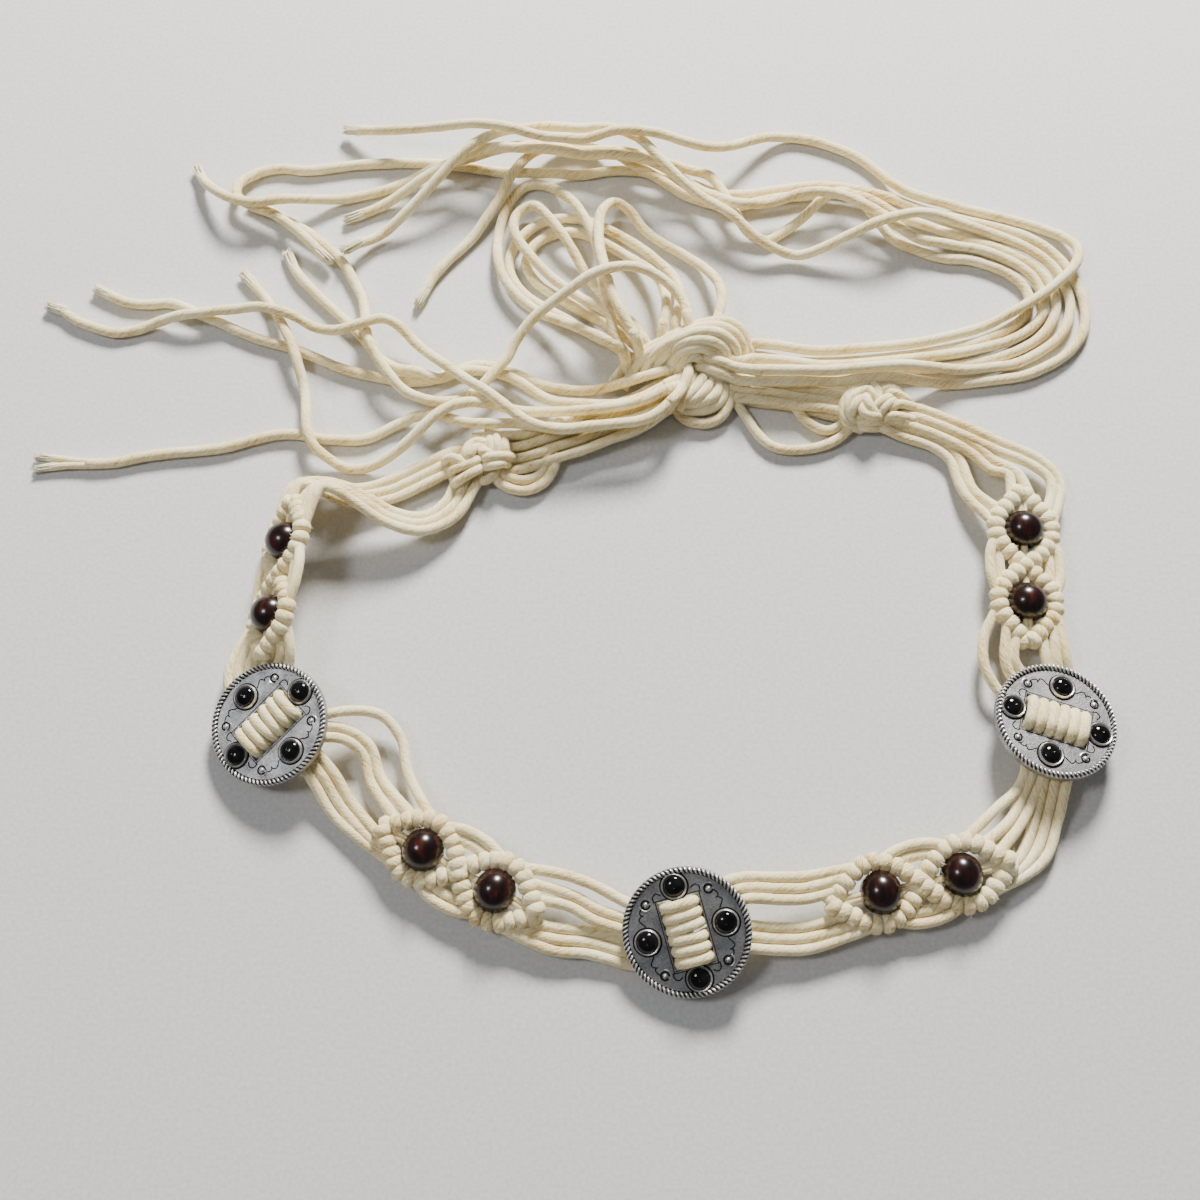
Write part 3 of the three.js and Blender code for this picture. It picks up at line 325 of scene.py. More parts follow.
class Shell:
    """Collects rings of points into one mesh, with a UV map that runs round and along and
    a tone for each point."""

    def __init__(self):
        self.points = []
        self.faces = []
        self.uvs = []
        self.tones = []

    def add(self, points, faces, uvs, tone):
        """Adds faces; the tone is one number for them all, or one for each point."""
        offset = len(self.points)
        self.points.extend(map(tuple, points))
        self.faces.extend(tuple(corner + offset for corner in face) for face in faces)
        self.uvs.extend(uvs)
        self.tones.extend(np.broadcast_to(np.asarray(tone, dtype=float), (len(points),)))

    def tube(self, path, radii, sides=CORD_SIDES, seed=0.0, tone=MID_TONE):
        """A closed tube along a path; radii is one number, or one for each point."""
        radii = np.broadcast_to(np.asarray(radii, dtype=float), (len(path),))
        _, normals, sideways = path_frames(path)
        angles = np.arange(sides) * 2 * math.pi / sides
        spokes = (np.cos(angles)[None, :, None] * normals[:, None, :]
                  + np.sin(angles)[None, :, None] * sideways[:, None, :])
        rings = path[:, None, :] + spokes * radii[:, None, None]
        heights = distances(path) + seed
        faces, uvs = bands(len(path) - 1, len(path), sides, heights)
        end = (len(path) - 1) * sides
        faces.append(tuple(reversed(range(sides))))
        faces.append(tuple(end + side for side in range(sides)))
        uvs.extend([(side / sides, heights[0]) for side in reversed(range(sides))])
        uvs.extend([(side / sides, heights[-1]) for side in range(sides)])
        self.add(rings.reshape(-1, 3), faces, uvs, tone)

    def ring(self, grid, seed=0.0, tone=MID_TONE):
        """A closed surface from a grid of points [along, around]."""
        rows, sides = grid.shape[:2]
        heights = 0.001 * np.arange(rows + 1) + seed
        self.add(grid.reshape(-1, 3), *bands(rows, rows, sides, heights), tone)

    def hairs(self, path, radius, each):
        """Loose fibres that stand off a cord, so many to a millimetre."""
        count = int(path_length(path) * MM_PER_METRE * each)
        tangents, normals, sideways = path_frames(path)
        at = rng.uniform(0, len(path) - 1.001, count)
        low = at.astype(int)
        share = (at - low)[:, None]
        centre = path[low] * (1 - share) + path[low + 1] * share
        angle = rng.uniform(0, 2 * math.pi, count)[:, None]
        spoke = normals[low] * np.cos(angle) + sideways[low] * np.sin(angle)
        along = tangents[low] * rng.choice([-1.0, 1.0], count)[:, None]
        reach = rng.uniform(*HAIR_REACH, count)[:, None]
        bend = rng.uniform(*HAIR_BEND, count)[:, None]
        root = centre + spoke * radius * HAIR_SEAT
        first, second = (spoke * share for share in HAIR_OUTWARDS)
        middle = root + (first + along * bend * HAIR_PART) * reach * HAIR_PART
        tip = middle + (second + along * bend + UP * HAIR_RISE) * reach * HAIR_PART
        width = np.cross(spoke, along) * rng.uniform(*HAIR_WIDTH, count)[:, None]
        points = np.stack([root - width, root + width, middle + width * HAIR_TAPER,
                           middle - width * HAIR_TAPER, tip], axis=1).reshape(-1, 3)
        points[:, 2] = np.maximum(points[:, 2], 0.0001)
        faces = []
        for first in range(0, 5 * count, 5):
            faces.append((first, first + 1, first + 2, first + 3))
            faces.append((first + 3, first + 2, first + 4))
        # The fibres' tone makes them paler than the cord: painted light.
        self.add(points, faces, [(0.5, 0.0)] * (7 * count), HAIR_PAINTED_LIGHT)

    def finish(self, name, material, node):
        """The mesh as a piece that rides on the belt and stands for one solid."""
        mesh = bpy.data.meshes.new(name)
        mesh.from_pydata(self.points, [], self.faces)
        layer = mesh.uv_layers.new(name="round_and_along")
        layer.data.foreach_set("uv", np.asarray(self.uvs, dtype=np.float32).ravel())
        tones = mesh.attributes.new("tone", "FLOAT", "POINT")
        tones.data.foreach_set("value", np.asarray(self.tones, dtype=np.float32))
        mesh.polygons.foreach_set("use_smooth", [True] * len(mesh.polygons))
        mesh.materials.append(material)
        mesh.update()
        piece = bpy.data.objects.new(name, mesh)
        bpy.context.collection.objects.link(piece)
        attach(piece, "root")
        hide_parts(node)
        return piece


# Materials.
class Nodes:
    """A material's node tree, wired with short calls."""

    def __init__(self, name):
        self.material = bpy.data.materials.new(name)
        self.material.use_nodes = True
        self.tree = self.material.node_tree
        self.shader = self.tree.nodes["Principled BSDF"]

    def node(self, kind, values=None, **settings):
        node = self.tree.nodes.new(kind)
        for key, value in settings.items():
            setattr(node, key, value)
        for key, value in (values or {}).items():
            if isinstance(value, bpy.types.NodeSocket):
                self.tree.links.new(value, node.inputs[key])
            else:
                node.inputs[key].default_value = value
        return node

    def place(self):
        return self.node("ShaderNodeTexCoord").outputs["Object"]

    def tone(self):
        return self.node("ShaderNodeAttribute", attribute_name="tone").outputs["Fac"]

    def math(self, operation, first, second=0.0):
        return self.node("ShaderNodeMath", {0: first, 1: second}, operation=operation).outputs[0]

    def total(self, first, *parts):
        """Adds to the first factor each further one times its weight."""
        for factor, weight in parts:
            first = self.math("ADD", first, self.math("MULTIPLY", factor, weight))
        return first

    def around_middle(self, factor):
        return self.math("SUBTRACT", factor, 0.5)

    def ramp(self, factor, stops):
        node = self.node("ShaderNodeValToRGB", {"Fac": factor})
        ramp = node.color_ramp
        while len(ramp.elements) < len(stops):
            ramp.elements.new(1.0)
        for element, (position, colour) in zip(ramp.elements, stops):
            element.position = position
            element.color = (*colour, 1)
        return node.outputs["Color"]

    def noise(self, vector, scale, detail):
        values = {"Vector": vector, "Scale": scale, "Detail": detail}
        return self.node("ShaderNodeTexNoise", values).outputs["Fac"]

    def bump(self, height, strength, distance, under=None):
        values = {"Height": height, "Strength": strength, "Distance": distance}
        if under is not None:
            values["Normal"] = under
        return self.node("ShaderNodeBump", values).outputs["Normal"]

    def set(self, **values):
        for key, value in values.items():
            socket = self.shader.inputs[key.replace("_", " ")]
            if isinstance(value, bpy.types.NodeSocket):
                self.tree.links.new(value, socket)
            else:
                socket.default_value = value
        return self.material


# Fibres: turns of twist to a metre of cord, and the scale of the pattern round and along.
TWIST = 60.0
ROUND_SCALE = 2.0
ALONG_SCALE = 120.0


def fibre_coordinates(nodes):
    """Millimetres round a cord and stretched along it, without a seam."""
    uv = nodes.node("ShaderNodeUVMap", uv_map="round_and_along").outputs["UV"]
    split = nodes.node("ShaderNodeSeparateXYZ", {"Vector": uv})
    twist = nodes.math("MULTIPLY", split.outputs["Y"], TWIST)
    turn = nodes.math("MULTIPLY", nodes.math("ADD", split.outputs["X"], twist), 2 * math.pi)
    return nodes.node("ShaderNodeCombineXYZ", {
        "X": nodes.math("MULTIPLY", nodes.math("COSINE", turn), ROUND_SCALE),
        "Y": nodes.math("MULTIPLY", nodes.math("SINE", turn), ROUND_SCALE),
        "Z": nodes.math("MULTIPLY", split.outputs["Y"], ALONG_SCALE),
    }).outputs["Vector"]


def cotton_material():
    """Soft undyed cotton: cream, with tan in random patches and, as painted shade, tan in the grooves
    between the fibres.
    """
    nodes = Nodes("cotton")
    round_cord, place = fibre_coordinates(nodes), nodes.place()
    fibres = nodes.noise(round_cord, scale=1.9, detail=5.0)
    fine = nodes.noise(round_cord, scale=6.0, detail=4.0)
    patches = nodes.noise(place, scale=45.0, detail=3.0)
    fluff = nodes.noise(place, scale=1300.0, detail=4.0)
    # The fibre and fluff noises that darken the colour are also the bumps' heights, so the tan falls in
    # their grooves: painted shade. The patches are random tone. The tone attribute makes loose fibres
    # and tufts paler: painted light.
    tone = nodes.total(nodes.math("MULTIPLY", fibres, 0.5), (patches, 0.3), (fluff, 0.2),
                       (nodes.around_middle(nodes.tone()), 0.4))
    colour = nodes.ramp(tone, [
        (0.36, (0.55, 0.37, 0.13)), (0.45, (0.83, 0.66, 0.33)), (0.53, (0.94, 0.825, 0.51)),
        (0.64, (0.985, 0.92, 0.66)),
    ])
    rough = nodes.bump(fluff, strength=0.55, distance=0.0005)
    ribbed = nodes.bump(fine, strength=0.4, distance=0.0004, under=rough)
    normal = nodes.bump(fibres, strength=0.6, distance=0.0006, under=ribbed)
    return nodes.set(Base_Color=colour, Normal=normal, Roughness=0.95, Sheen_Weight=0.35,
                     Sheen_Roughness=0.45)


def silver_material():
    """Antique pewter: dark in the hollows, bright where it is raised and rubbed."""
    nodes = Nodes("silver")
    place = nodes.place()
    stains = nodes.noise(place, scale=170.0, detail=6.0)
    grain = nodes.noise(place, scale=1500.0, detail=4.0)
    rubbed = nodes.total(nodes.tone(), (nodes.around_middle(stains), 0.5),
                         (nodes.around_middle(grain), 0.35))
    colour = nodes.ramp(rubbed, [
        (0.08, (0.006, 0.006, 0.007)), (0.36, (0.12, 0.12, 0.125)), (0.6, (0.37, 0.37, 0.375)),
        (0.95, (0.86, 0.84, 0.80)),
    ])
    rough = nodes.ramp(rubbed, [(0.2, (0.58, 0.58, 0.58)), (0.9, (0.3, 0.3, 0.3))])
    normal = nodes.bump(grain, strength=0.35, distance=0.0003)
    return nodes.set(Base_Color=colour, Roughness=rough, Metallic=0.9, Normal=normal)


def stone_material():
    """Black glass, with the faintest clouds."""
    nodes = Nodes("stone")
    clouds = nodes.noise(nodes.place(), scale=300.0, detail=3.0)
    colour = nodes.ramp(clouds, [(0.35, (0.001, 0.001, 0.001)), (0.7, (0.006, 0.006, 0.007))])
    return nodes.set(Base_Color=colour, Roughness=0.05, Specular_IOR_Level=0.32)


def wood_material():
    """Dark red-brown wood under a thin lacquer."""
    nodes = Nodes("wood")
    values = {"Vector": nodes.place(), "Scale": (1.0, 0.35, 1.0)}
    stretched = nodes.node("ShaderNodeMapping", values).outputs["Vector"]
    grain = nodes.noise(stretched, scale=420.0, detail=6.0)
    colour = nodes.ramp(grain, [
        (0.34, (0.004, 0.001, 0.001)), (0.55, (0.014, 0.003, 0.002)), (0.76, (0.06, 0.009, 0.005)),
    ])
    normal = nodes.bump(grain, strength=0.06, distance=0.0002)
    return nodes.set(Base_Color=colour, Roughness=0.26, Coat_Weight=0.35, Coat_Roughness=0.05,
                     Specular_IOR_Level=0.32, Normal=normal)


COTTON = cotton_material()
SILVER = silver_material()
STONE = stone_material()
WOOD = wood_material()


# Loose cords: routes from the knot outwards, in the order that they are laid. leave and
# enter are the heights of a cord's ends at the knot.
CORDS = [
    {"name": "bow_loop_1", "leave": 0.012, "enter": 0.006, "route": [
        (0.029, 0.1085), (0.0305, 0.1175), (0.031, 0.128), (0.027, 0.138), (0.02, 0.146),
        (0.011, 0.153), (0.001, 0.159), (-0.01, 0.163), (-0.021, 0.162), (-0.03, 0.156),
        (-0.0355, 0.147), (-0.0355, 0.137), (-0.03, 0.128), (-0.0205, 0.121), (-0.01, 0.1145),
        (-0.001, 0.1075), (0.0045, 0.1035), (0.0095, 0.0995),
    ]},
    {"name": "bow_loop_2", "leave": 0.012, "enter": 0.008, "route": [
        (0.024, 0.1065), (0.0255, 0.115), (0.025, 0.125), (0.0215, 0.134), (0.015, 0.1415),
        (0.007, 0.148), (-0.002, 0.1535), (-0.011, 0.1565), (-0.02, 0.155), (-0.027, 0.1495),
        (-0.0295, 0.1415), (-0.025, 0.133), (-0.016, 0.126), (-0.006, 0.119), (0.003, 0.112),
        (0.008, 0.1075), (0.0125, 0.1025),
    ]},
    {"name": "bow_loop_3", "leave": 0.009, "enter": 0.009, "route": [
        (0.017, 0.1025), (0.013, 0.1095), (0.007, 0.118), (0.001, 0.127), (-0.0055, 0.137),
        (-0.012, 0.148), (-0.019, 0.1585), (-0.027, 0.1665), (-0.033, 0.163), (-0.0345, 0.155),
        (-0.03, 0.146), (-0.023, 0.1375), (-0.015, 0.13), (-0.006, 0.122), (0.003, 0.1145),
        (0.0085, 0.109), (0.013, 0.103),
    ]},
    {"name": "bow_loop_4", "leave": 0.006, "enter": 0.006, "route": [
        (0.0085, 0.096), (0.0055, 0.102), (0.004, 0.11), (0.002, 0.122), (0.0005, 0.136),
        (-0.002, 0.15), (-0.007, 0.162), (-0.014, 0.172), (-0.022, 0.1785), (-0.03, 0.1785),
        (-0.0365, 0.171), (-0.04, 0.16), (-0.041, 0.148), (-0.039, 0.136), (-0.033, 0.126),
        (-0.024, 0.118), (-0.013, 0.111), (-0.004, 0.1045), (0.002, 0.1005), (0.0075, 0.0975),
    ]},
    {"name": "bow_loop_5", "leave": 0.008, "enter": 0.013, "route": [
        (0.0135, 0.0995), (0.0095, 0.1065), (0.005, 0.116), (0.002, 0.128), (0.0, 0.14),
        (-0.0005, 0.152), (0.001, 0.162), (0.006, 0.1675), (0.012, 0.165), (0.0175, 0.158),
        (0.025, 0.1515), (0.034, 0.1455), (0.0415, 0.1385), (0.0465, 0.1295), (0.0475, 0.121),
        (0.0465, 0.115), (0.045, 0.1095),
    ]},
    {"name": "tie_left_5", "leave": 0.009, "enter": None, "route": [
        (0.0264, 0.0752), (0.016, 0.0702), (0.005, 0.0672), (-0.008, 0.0654), (-0.02, 0.0656),
        (-0.032, 0.0672), (-0.042, 0.067), (-0.049, 0.0672), (-0.0556, 0.0692), (-0.062, 0.0726),
        (-0.07, 0.073), (-0.0778, 0.0703), (-0.089, 0.0646), (-0.1, 0.0642), (-0.108, 0.0649),
        (-0.115, 0.0664), (-0.123, 0.0664), (-0.132, 0.0642), (-0.141, 0.0614), (-0.152, 0.0596),
        (-0.163, 0.0586), (-0.1744, 0.0569), (-0.183, 0.0548), (-0.192, 0.0542), (-0.201, 0.0546),
        (-0.2078, 0.0548), (-0.214, 0.0548),
    ]},
    {"name": "tie_left_2", "leave": 0.008, "enter": None, "route": [
        (0.0264, 0.0905), (0.0167, 0.0875), (0.0056, 0.0855), (-0.0056, 0.085), (-0.0156, 0.086),
        (-0.0244, 0.0883), (-0.033, 0.0928), (-0.041, 0.0956), (-0.05, 0.096), (-0.0578, 0.0928),
        (-0.0667, 0.0894), (-0.0778, 0.0894), (-0.089, 0.0917), (-0.099, 0.0944), (-0.1078, 0.0983),
        (-0.1156, 0.1017), (-0.1244, 0.105), (-0.132, 0.1072), (-0.141, 0.111), (-0.149, 0.115),
        (-0.1567, 0.1183), (-0.163, 0.1217), (-0.17, 0.1239), (-0.1778, 0.1233), (-0.1856, 0.1239),
        (-0.193, 0.127), (-0.2, 0.1306),
    ]},
    {"name": "tie_left_3", "leave": 0.008, "enter": None, "route": [
        (0.0264, 0.084), (0.017, 0.0785), (0.008, 0.0755), (-0.008, 0.076), (-0.017, 0.0785),
        (-0.024, 0.0825), (-0.031, 0.0875), (-0.037, 0.0905), (-0.045, 0.092), (-0.054, 0.0915),
        (-0.062, 0.088), (-0.07, 0.091), (-0.079, 0.093), (-0.086, 0.0985), (-0.091, 0.106),
        (-0.097, 0.113), (-0.104, 0.12), (-0.113, 0.129), (-0.121, 0.1385), (-0.125, 0.1475),
    ]},
    {"name": "tie_left_6", "leave": 0.017, "enter": None, "route": [
        (0.0335, 0.1085), (0.0325, 0.1145), (0.0285, 0.1205), (0.022, 0.125), (0.014, 0.127),
        (0.006, 0.126), (-0.002, 0.1235), (-0.011, 0.1185), (-0.02, 0.113), (-0.0267, 0.108),
        (-0.032, 0.1017), (-0.0356, 0.095), (-0.04, 0.09), (-0.0444, 0.0845), (-0.05, 0.08),
        (-0.056, 0.0772), (-0.063, 0.077), (-0.069, 0.079), (-0.0756, 0.083), (-0.081, 0.089),
        (-0.0865, 0.098), (-0.09, 0.106), (-0.0915, 0.115), (-0.0935, 0.125), (-0.098, 0.1345),
        (-0.102, 0.1417), (-0.109, 0.1494), (-0.1167, 0.156), (-0.1256, 0.1617), (-0.1344, 0.1672),
        (-0.142, 0.171),
    ]},
    {"name": "tie_left_4", "leave": 0.009, "enter": None, "route": [
        (0.0264, 0.08), (0.015, 0.0745), (0.003, 0.072), (-0.01, 0.0715), (-0.022, 0.073),
        (-0.035, 0.075), (-0.047, 0.0755), (-0.056, 0.073), (-0.062, 0.069), (-0.069, 0.0625),
        (-0.077, 0.0565), (-0.086, 0.0525), (-0.096, 0.0522), (-0.102, 0.055), (-0.1078, 0.0594),
        (-0.111, 0.067), (-0.112, 0.075), (-0.1135, 0.084), (-0.116, 0.093), (-0.119, 0.102),
        (-0.123, 0.1106), (-0.1278, 0.1194), (-0.132, 0.126), (-0.1378, 0.1328), (-0.142, 0.138),
    ]},
    {"name": "tie_left_1", "leave": 0.012, "enter": None, "route": [
        (0.0275, 0.075), (0.022, 0.0695), (0.0156, 0.0665), (0.0056, 0.065), (-0.0044, 0.064),
        (-0.0133, 0.0628), (-0.022, 0.0639), (-0.029, 0.0672), (-0.0356, 0.0728), (-0.042, 0.0783),
        (-0.05, 0.0839), (-0.0578, 0.0906), (-0.0644, 0.096), (-0.071, 0.1028), (-0.0778, 0.1094),
        (-0.084, 0.1115), (-0.092, 0.109), (-0.101, 0.1068), (-0.11, 0.1094), (-0.119, 0.1144),
        (-0.1267, 0.1172), (-0.1356, 0.1189), (-0.1467, 0.1183), (-0.1567, 0.1167), (-0.1656, 0.116),
        (-0.1744, 0.1144), (-0.182, 0.1117), (-0.19, 0.1106), (-0.1978, 0.1128), (-0.2056, 0.116),
        (-0.212, 0.1206), (-0.218, 0.1228),
    ]},
    {"name": "tie_right_5", "leave": 0.006, "enter": None, "route": [
        (0.0586, 0.0848), (0.086, 0.0856), (0.114, 0.0872), (0.138, 0.088), (0.15, 0.0895),
        (0.1635, 0.0915), (0.173, 0.0955), (0.181, 0.1005), (0.187, 0.107), (0.1905, 0.115),
        (0.191, 0.124), (0.189, 0.133), (0.185, 0.1415), (0.179, 0.149), (0.171, 0.1545),
        (0.16, 0.1585), (0.132, 0.1665), (0.113, 0.1745), (0.093, 0.1785), (0.081, 0.178),
        (0.0588, 0.1745), (0.048, 0.175), (0.038, 0.179), (0.017, 0.1855), (0.005, 0.186),
        (-0.007, 0.184), (-0.033, 0.1835), (-0.045, 0.186), (-0.07, 0.1895), (-0.097, 0.189),
        (-0.12, 0.186), (-0.131, 0.187), (-0.14, 0.1845), (-0.1465, 0.178), (-0.146, 0.171),
        (-0.14, 0.1665), (-0.131, 0.1625), (-0.12, 0.154), (-0.107, 0.1415),
    ]},
    {"name": "tie_right_4", "leave": 0.004, "enter": None, "route": [
        (0.0586, 0.0915), (0.086, 0.091), (0.114, 0.0935), (0.138, 0.096), (0.15, 0.0985),
        (0.161, 0.102), (0.17, 0.107), (0.1765, 0.114), (0.18, 0.1235), (0.1785, 0.1325),
        (0.1735, 0.14), (0.166, 0.1455), (0.158, 0.1495), (0.15, 0.152), (0.132, 0.1595),
        (0.122, 0.1635), (0.113, 0.169), (0.104, 0.1725), (0.093, 0.1738), (0.081, 0.1732),
        (0.067, 0.171), (0.055, 0.1685), (0.045, 0.17), (0.034, 0.174), (0.023, 0.18), (0.013, 0.186),
        (0.005, 0.192), (-0.008, 0.1978), (-0.017, 0.1967), (-0.0244, 0.1928), (-0.031, 0.186),
        (-0.0356, 0.1794), (-0.04, 0.1706), (-0.0456, 0.1617), (-0.052, 0.1528), (-0.061, 0.1428),
        (-0.0667, 0.135), (-0.072, 0.123),
    ]},
    {"name": "tie_right_6", "leave": 0.005, "enter": None, "route": [
        (0.0586, 0.0988), (0.086, 0.0975), (0.114, 0.0998), (0.138, 0.104), (0.15, 0.1075),
        (0.1585, 0.1115), (0.1655, 0.1165), (0.1695, 0.1235), (0.168, 0.1315), (0.162, 0.1375),
        (0.148, 0.1435), (0.137, 0.1445), (0.127, 0.148), (0.119, 0.152), (0.112, 0.1595),
        (0.105, 0.167), (0.0976, 0.1715), (0.0906, 0.1695), (0.0824, 0.1626), (0.073, 0.1562),
        (0.067, 0.1526), (0.06, 0.155), (0.0553, 0.1609), (0.0482, 0.175), (0.0435, 0.181),
        (0.034, 0.184), (0.024, 0.1855), (0.0, 0.19), (-0.025, 0.1905), (-0.05, 0.189),
        (-0.0667, 0.1845), (-0.089, 0.176), (-0.1, 0.173), (-0.126, 0.167), (-0.137, 0.165),
        (-0.146, 0.1665), (-0.154, 0.172), (-0.161, 0.18), (-0.165, 0.188),
    ]},
    {"name": "tie_right_2", "leave": 0.007, "enter": None, "route": [
        (0.0586, 0.095), (0.086, 0.0942), (0.1, 0.095), (0.114, 0.0964), (0.138, 0.1), (0.15, 0.103),
        (0.16, 0.1065), (0.168, 0.1115), (0.1735, 0.118), (0.175, 0.126), (0.172, 0.134), (0.166, 0.14),
        (0.158, 0.1445), (0.15, 0.1475), (0.14, 0.149), (0.128, 0.1505), (0.119, 0.155),
        (0.1094, 0.161), (0.1, 0.166), (0.0906, 0.1685), (0.0788, 0.1685), (0.0706, 0.1668),
        (0.0624, 0.1644), (0.053, 0.1644), (0.044, 0.169), (0.034, 0.176), (0.024, 0.1805),
        (0.013, 0.184), (-0.01, 0.186), (-0.033, 0.187), (-0.045, 0.1875), (-0.053, 0.186),
        (-0.063, 0.182), (-0.072, 0.1775), (-0.082, 0.172), (-0.091, 0.1675), (-0.103, 0.162),
    ]},
    {"name": "tie_right_3", "leave": 0.009, "enter": None, "route": [
        (0.0586, 0.088), (0.086, 0.088), (0.114, 0.0903), (0.138, 0.0922), (0.15, 0.094),
        (0.162, 0.097), (0.1785, 0.1075), (0.1835, 0.115), (0.1855, 0.124), (0.1835, 0.133),
        (0.1785, 0.141), (0.171, 0.1475), (0.161, 0.153), (0.15, 0.1565), (0.132, 0.1595),
        (0.12, 0.157), (0.097, 0.1495), (0.088, 0.1465), (0.079, 0.145), (0.068, 0.1475), (0.06, 0.152),
        (0.053, 0.158), (0.038, 0.1675), (0.03, 0.1735), (0.023, 0.181), (0.0178, 0.188),
        (0.012, 0.194), (0.0067, 0.198), (0.0, 0.201), (-0.008, 0.202), (-0.017, 0.201),
        (-0.028, 0.1975), (-0.047, 0.1885), (-0.056, 0.182), (-0.0644, 0.174), (-0.082, 0.1585),
        (-0.102, 0.145),
    ]},
    {"name": "tie_right_1", "leave": 0.008, "enter": None, "route": [
        (0.0586, 0.1025), (0.086, 0.101), (0.1, 0.102), (0.114, 0.103), (0.127, 0.105), (0.138, 0.108),
        (0.1495, 0.112), (0.161, 0.1175), (0.172, 0.124), (0.1815, 0.1315), (0.188, 0.139),
        (0.19, 0.147), (0.186, 0.1535), (0.178, 0.158), (0.167, 0.162), (0.155, 0.1655),
        (0.1435, 0.1685), (0.132, 0.171), (0.1235, 0.1745), (0.1176, 0.18), (0.1118, 0.187),
        (0.1047, 0.193), (0.097, 0.197), (0.088, 0.2005), (0.079, 0.202), (0.0694, 0.2005),
        (0.061, 0.196), (0.053, 0.191), (0.0435, 0.188), (0.032, 0.188), (0.02, 0.19), (0.005, 0.1915),
        (-0.01, 0.1895), (-0.027, 0.1895), (-0.04, 0.1915), (-0.067, 0.1955), (-0.08, 0.198),
        (-0.092, 0.201), (-0.105, 0.205),
    ]},
]


def route_path(route):
    flat = np.column_stack([np.array(route), np.zeros(len(route))]) + SHIFT * (1, 1, 0)
    return spline(flat, LAY_STEP)


class Balls:
    """What a cord is laid over, as balls."""

    def __init__(self):
        self.centres = np.zeros((0, 3))
        self.radii = np.zeros(0)

    def add(self, centres, radius):
        self.centres = np.vstack([self.centres, centres])
        self.radii = np.append(self.radii, np.full(len(centres), radius))

    def height_over(self, spot, count=None):
        centres, radii = self.centres[:count], self.radii[:count]
        reach = radii + CORD_RADIUS + LAY_GAP
        aside = ((centres[:, :2] - spot[:2]) ** 2).sum(axis=1)
        near = aside < reach**2
        if not near.any():
            return CORD_RADIUS
        tops = centres[near, 2] + np.sqrt(reach[near] ** 2 - aside[near])
        return max(CORD_RADIUS, float(tops.max()))


def average(values, half):
    last = len(values) - 1
    result = []
    for index in range(len(values)):
        reach = min(half, index, last - index)
        result.append(values[index - reach:index + reach + 1].mean())
    return np.array(result)


def lay_cord(row, laid):
    """A cord lies on the floor, or passes over what is there in a long low hump."""
    path = route_path(row["route"])
    last = len(path) - 1
    fall = LAY_SLOPE * LAY_STEP
    own = Balls()
    lows = []
    for index, spot in enumerate(path):
        held = max(row["leave"] - index * fall, (row["enter"] or 0) - (last - index) * fall)
        before = own.height_over(spot, max(index - LAY_SELF, 0))
        height = max(laid.height_over(spot), before, held)
        own.add(vec(spot[0], spot[1], height)[None], CORD_RADIUS)
        lows.append(height)
    heights = np.array([max(lows[max(index - LAY_HOLD, 0):index + LAY_HOLD + 1])
                        for index in range(last + 1)])
    for index in range(1, last + 1):
        heights[index] = max(heights[index], heights[index - 1] - fall)
    for index in range(last - 1, -1, -1):
        heights[index] = max(heights[index], heights[index + 1] - fall)
    heights = average(average(heights, 1), 2)
    path[:, 2] = heights
    return path


# The fat turns of the knots and the tails: route, width and thickness, and how many cords
# lie side by side and above each other in them. A tail goes on into the tie knot.
SQUARE_KNOTS = {
    "left": [
        {"route": [(-0.058, 0.0505, 0.0039), (-0.0525, 0.0565, 0.0073), (-0.05, 0.063, 0.0039)],
         "wide": 0.0092},
        {"route": [(-0.0475, 0.049, 0.0039), (-0.046, 0.056, 0.0078), (-0.0445, 0.0635, 0.0039)],
         "wide": 0.0092},
        {"route": [(-0.041, 0.0515, 0.0038), (-0.0395, 0.057, 0.0074), (-0.039, 0.0635, 0.0038)],
         "wide": 0.0088},
        {"route": [(-0.048, 0.057, 0.0034), (-0.038, 0.0575, 0.0032), (-0.026, 0.059, 0.0032),
                   (-0.012, 0.064, 0.0033), (0.003, 0.069, 0.0034), (0.015, 0.0744, 0.0036),
                   (0.0262, 0.0817, 0.0042)],
         "wide": 0.017, "thick": 0.0074, "cords": (4, 2), "twist": 0.12,
         "into": (0.034, 0.0852, 0.005)},
        {"route": [(-0.041, 0.053, 0.004), (-0.036, 0.047, 0.003), (-0.028, 0.0448, 0.0028),
                   (-0.021, 0.0485, 0.0028), (-0.0175, 0.058, 0.0034)],
         "wide": 0.0076, "thick": 0.005, "cords": (2, 1)},
    ],
    "right": [
        {"route": [(0.098, 0.0665, 0.0041), (0.0985, 0.074, 0.008), (0.1025, 0.081, 0.0041)],
         "wide": 0.0096},
        {"route": [(0.105, 0.066, 0.0041), (0.106, 0.074, 0.0082), (0.1045, 0.082, 0.0041)],
         "wide": 0.0096},
        {"route": [(0.1135, 0.0675, 0.0039), (0.113, 0.074, 0.0076), (0.1135, 0.0805, 0.0039)],
         "wide": 0.0092},
        {"route": [(0.107, 0.074, 0.0038), (0.096, 0.0765, 0.0034), (0.084, 0.0795, 0.0032),
                   (0.072, 0.082, 0.0033), (0.0586, 0.0838, 0.004)],
         "wide": 0.011, "thick": 0.0072, "cords": (3, 2), "twist": 0.15,
         "into": (0.0495, 0.0855, 0.0048)},
        {"route": [(0.098, 0.071, 0.0044), (0.091, 0.065, 0.0026), (0.082, 0.0608, 0.0021),
                   (0.073, 0.0596, 0.0021), (0.066, 0.0615, 0.0021), (0.06, 0.067, 0.0021),
                   (0.0555, 0.074, 0.0021), (0.052, 0.08, 0.0026)],
         "wide": 0.0038, "cords": (1, 1)},
        {"route": [(0.097, 0.0725, 0.005), (0.087, 0.068, 0.0026), (0.0795, 0.072, 0.0022),
                   (0.074, 0.078, 0.0028), (0.07, 0.082, 0.0036)],
         "wide": 0.0038, "cords": (1, 1)},
    ],
}

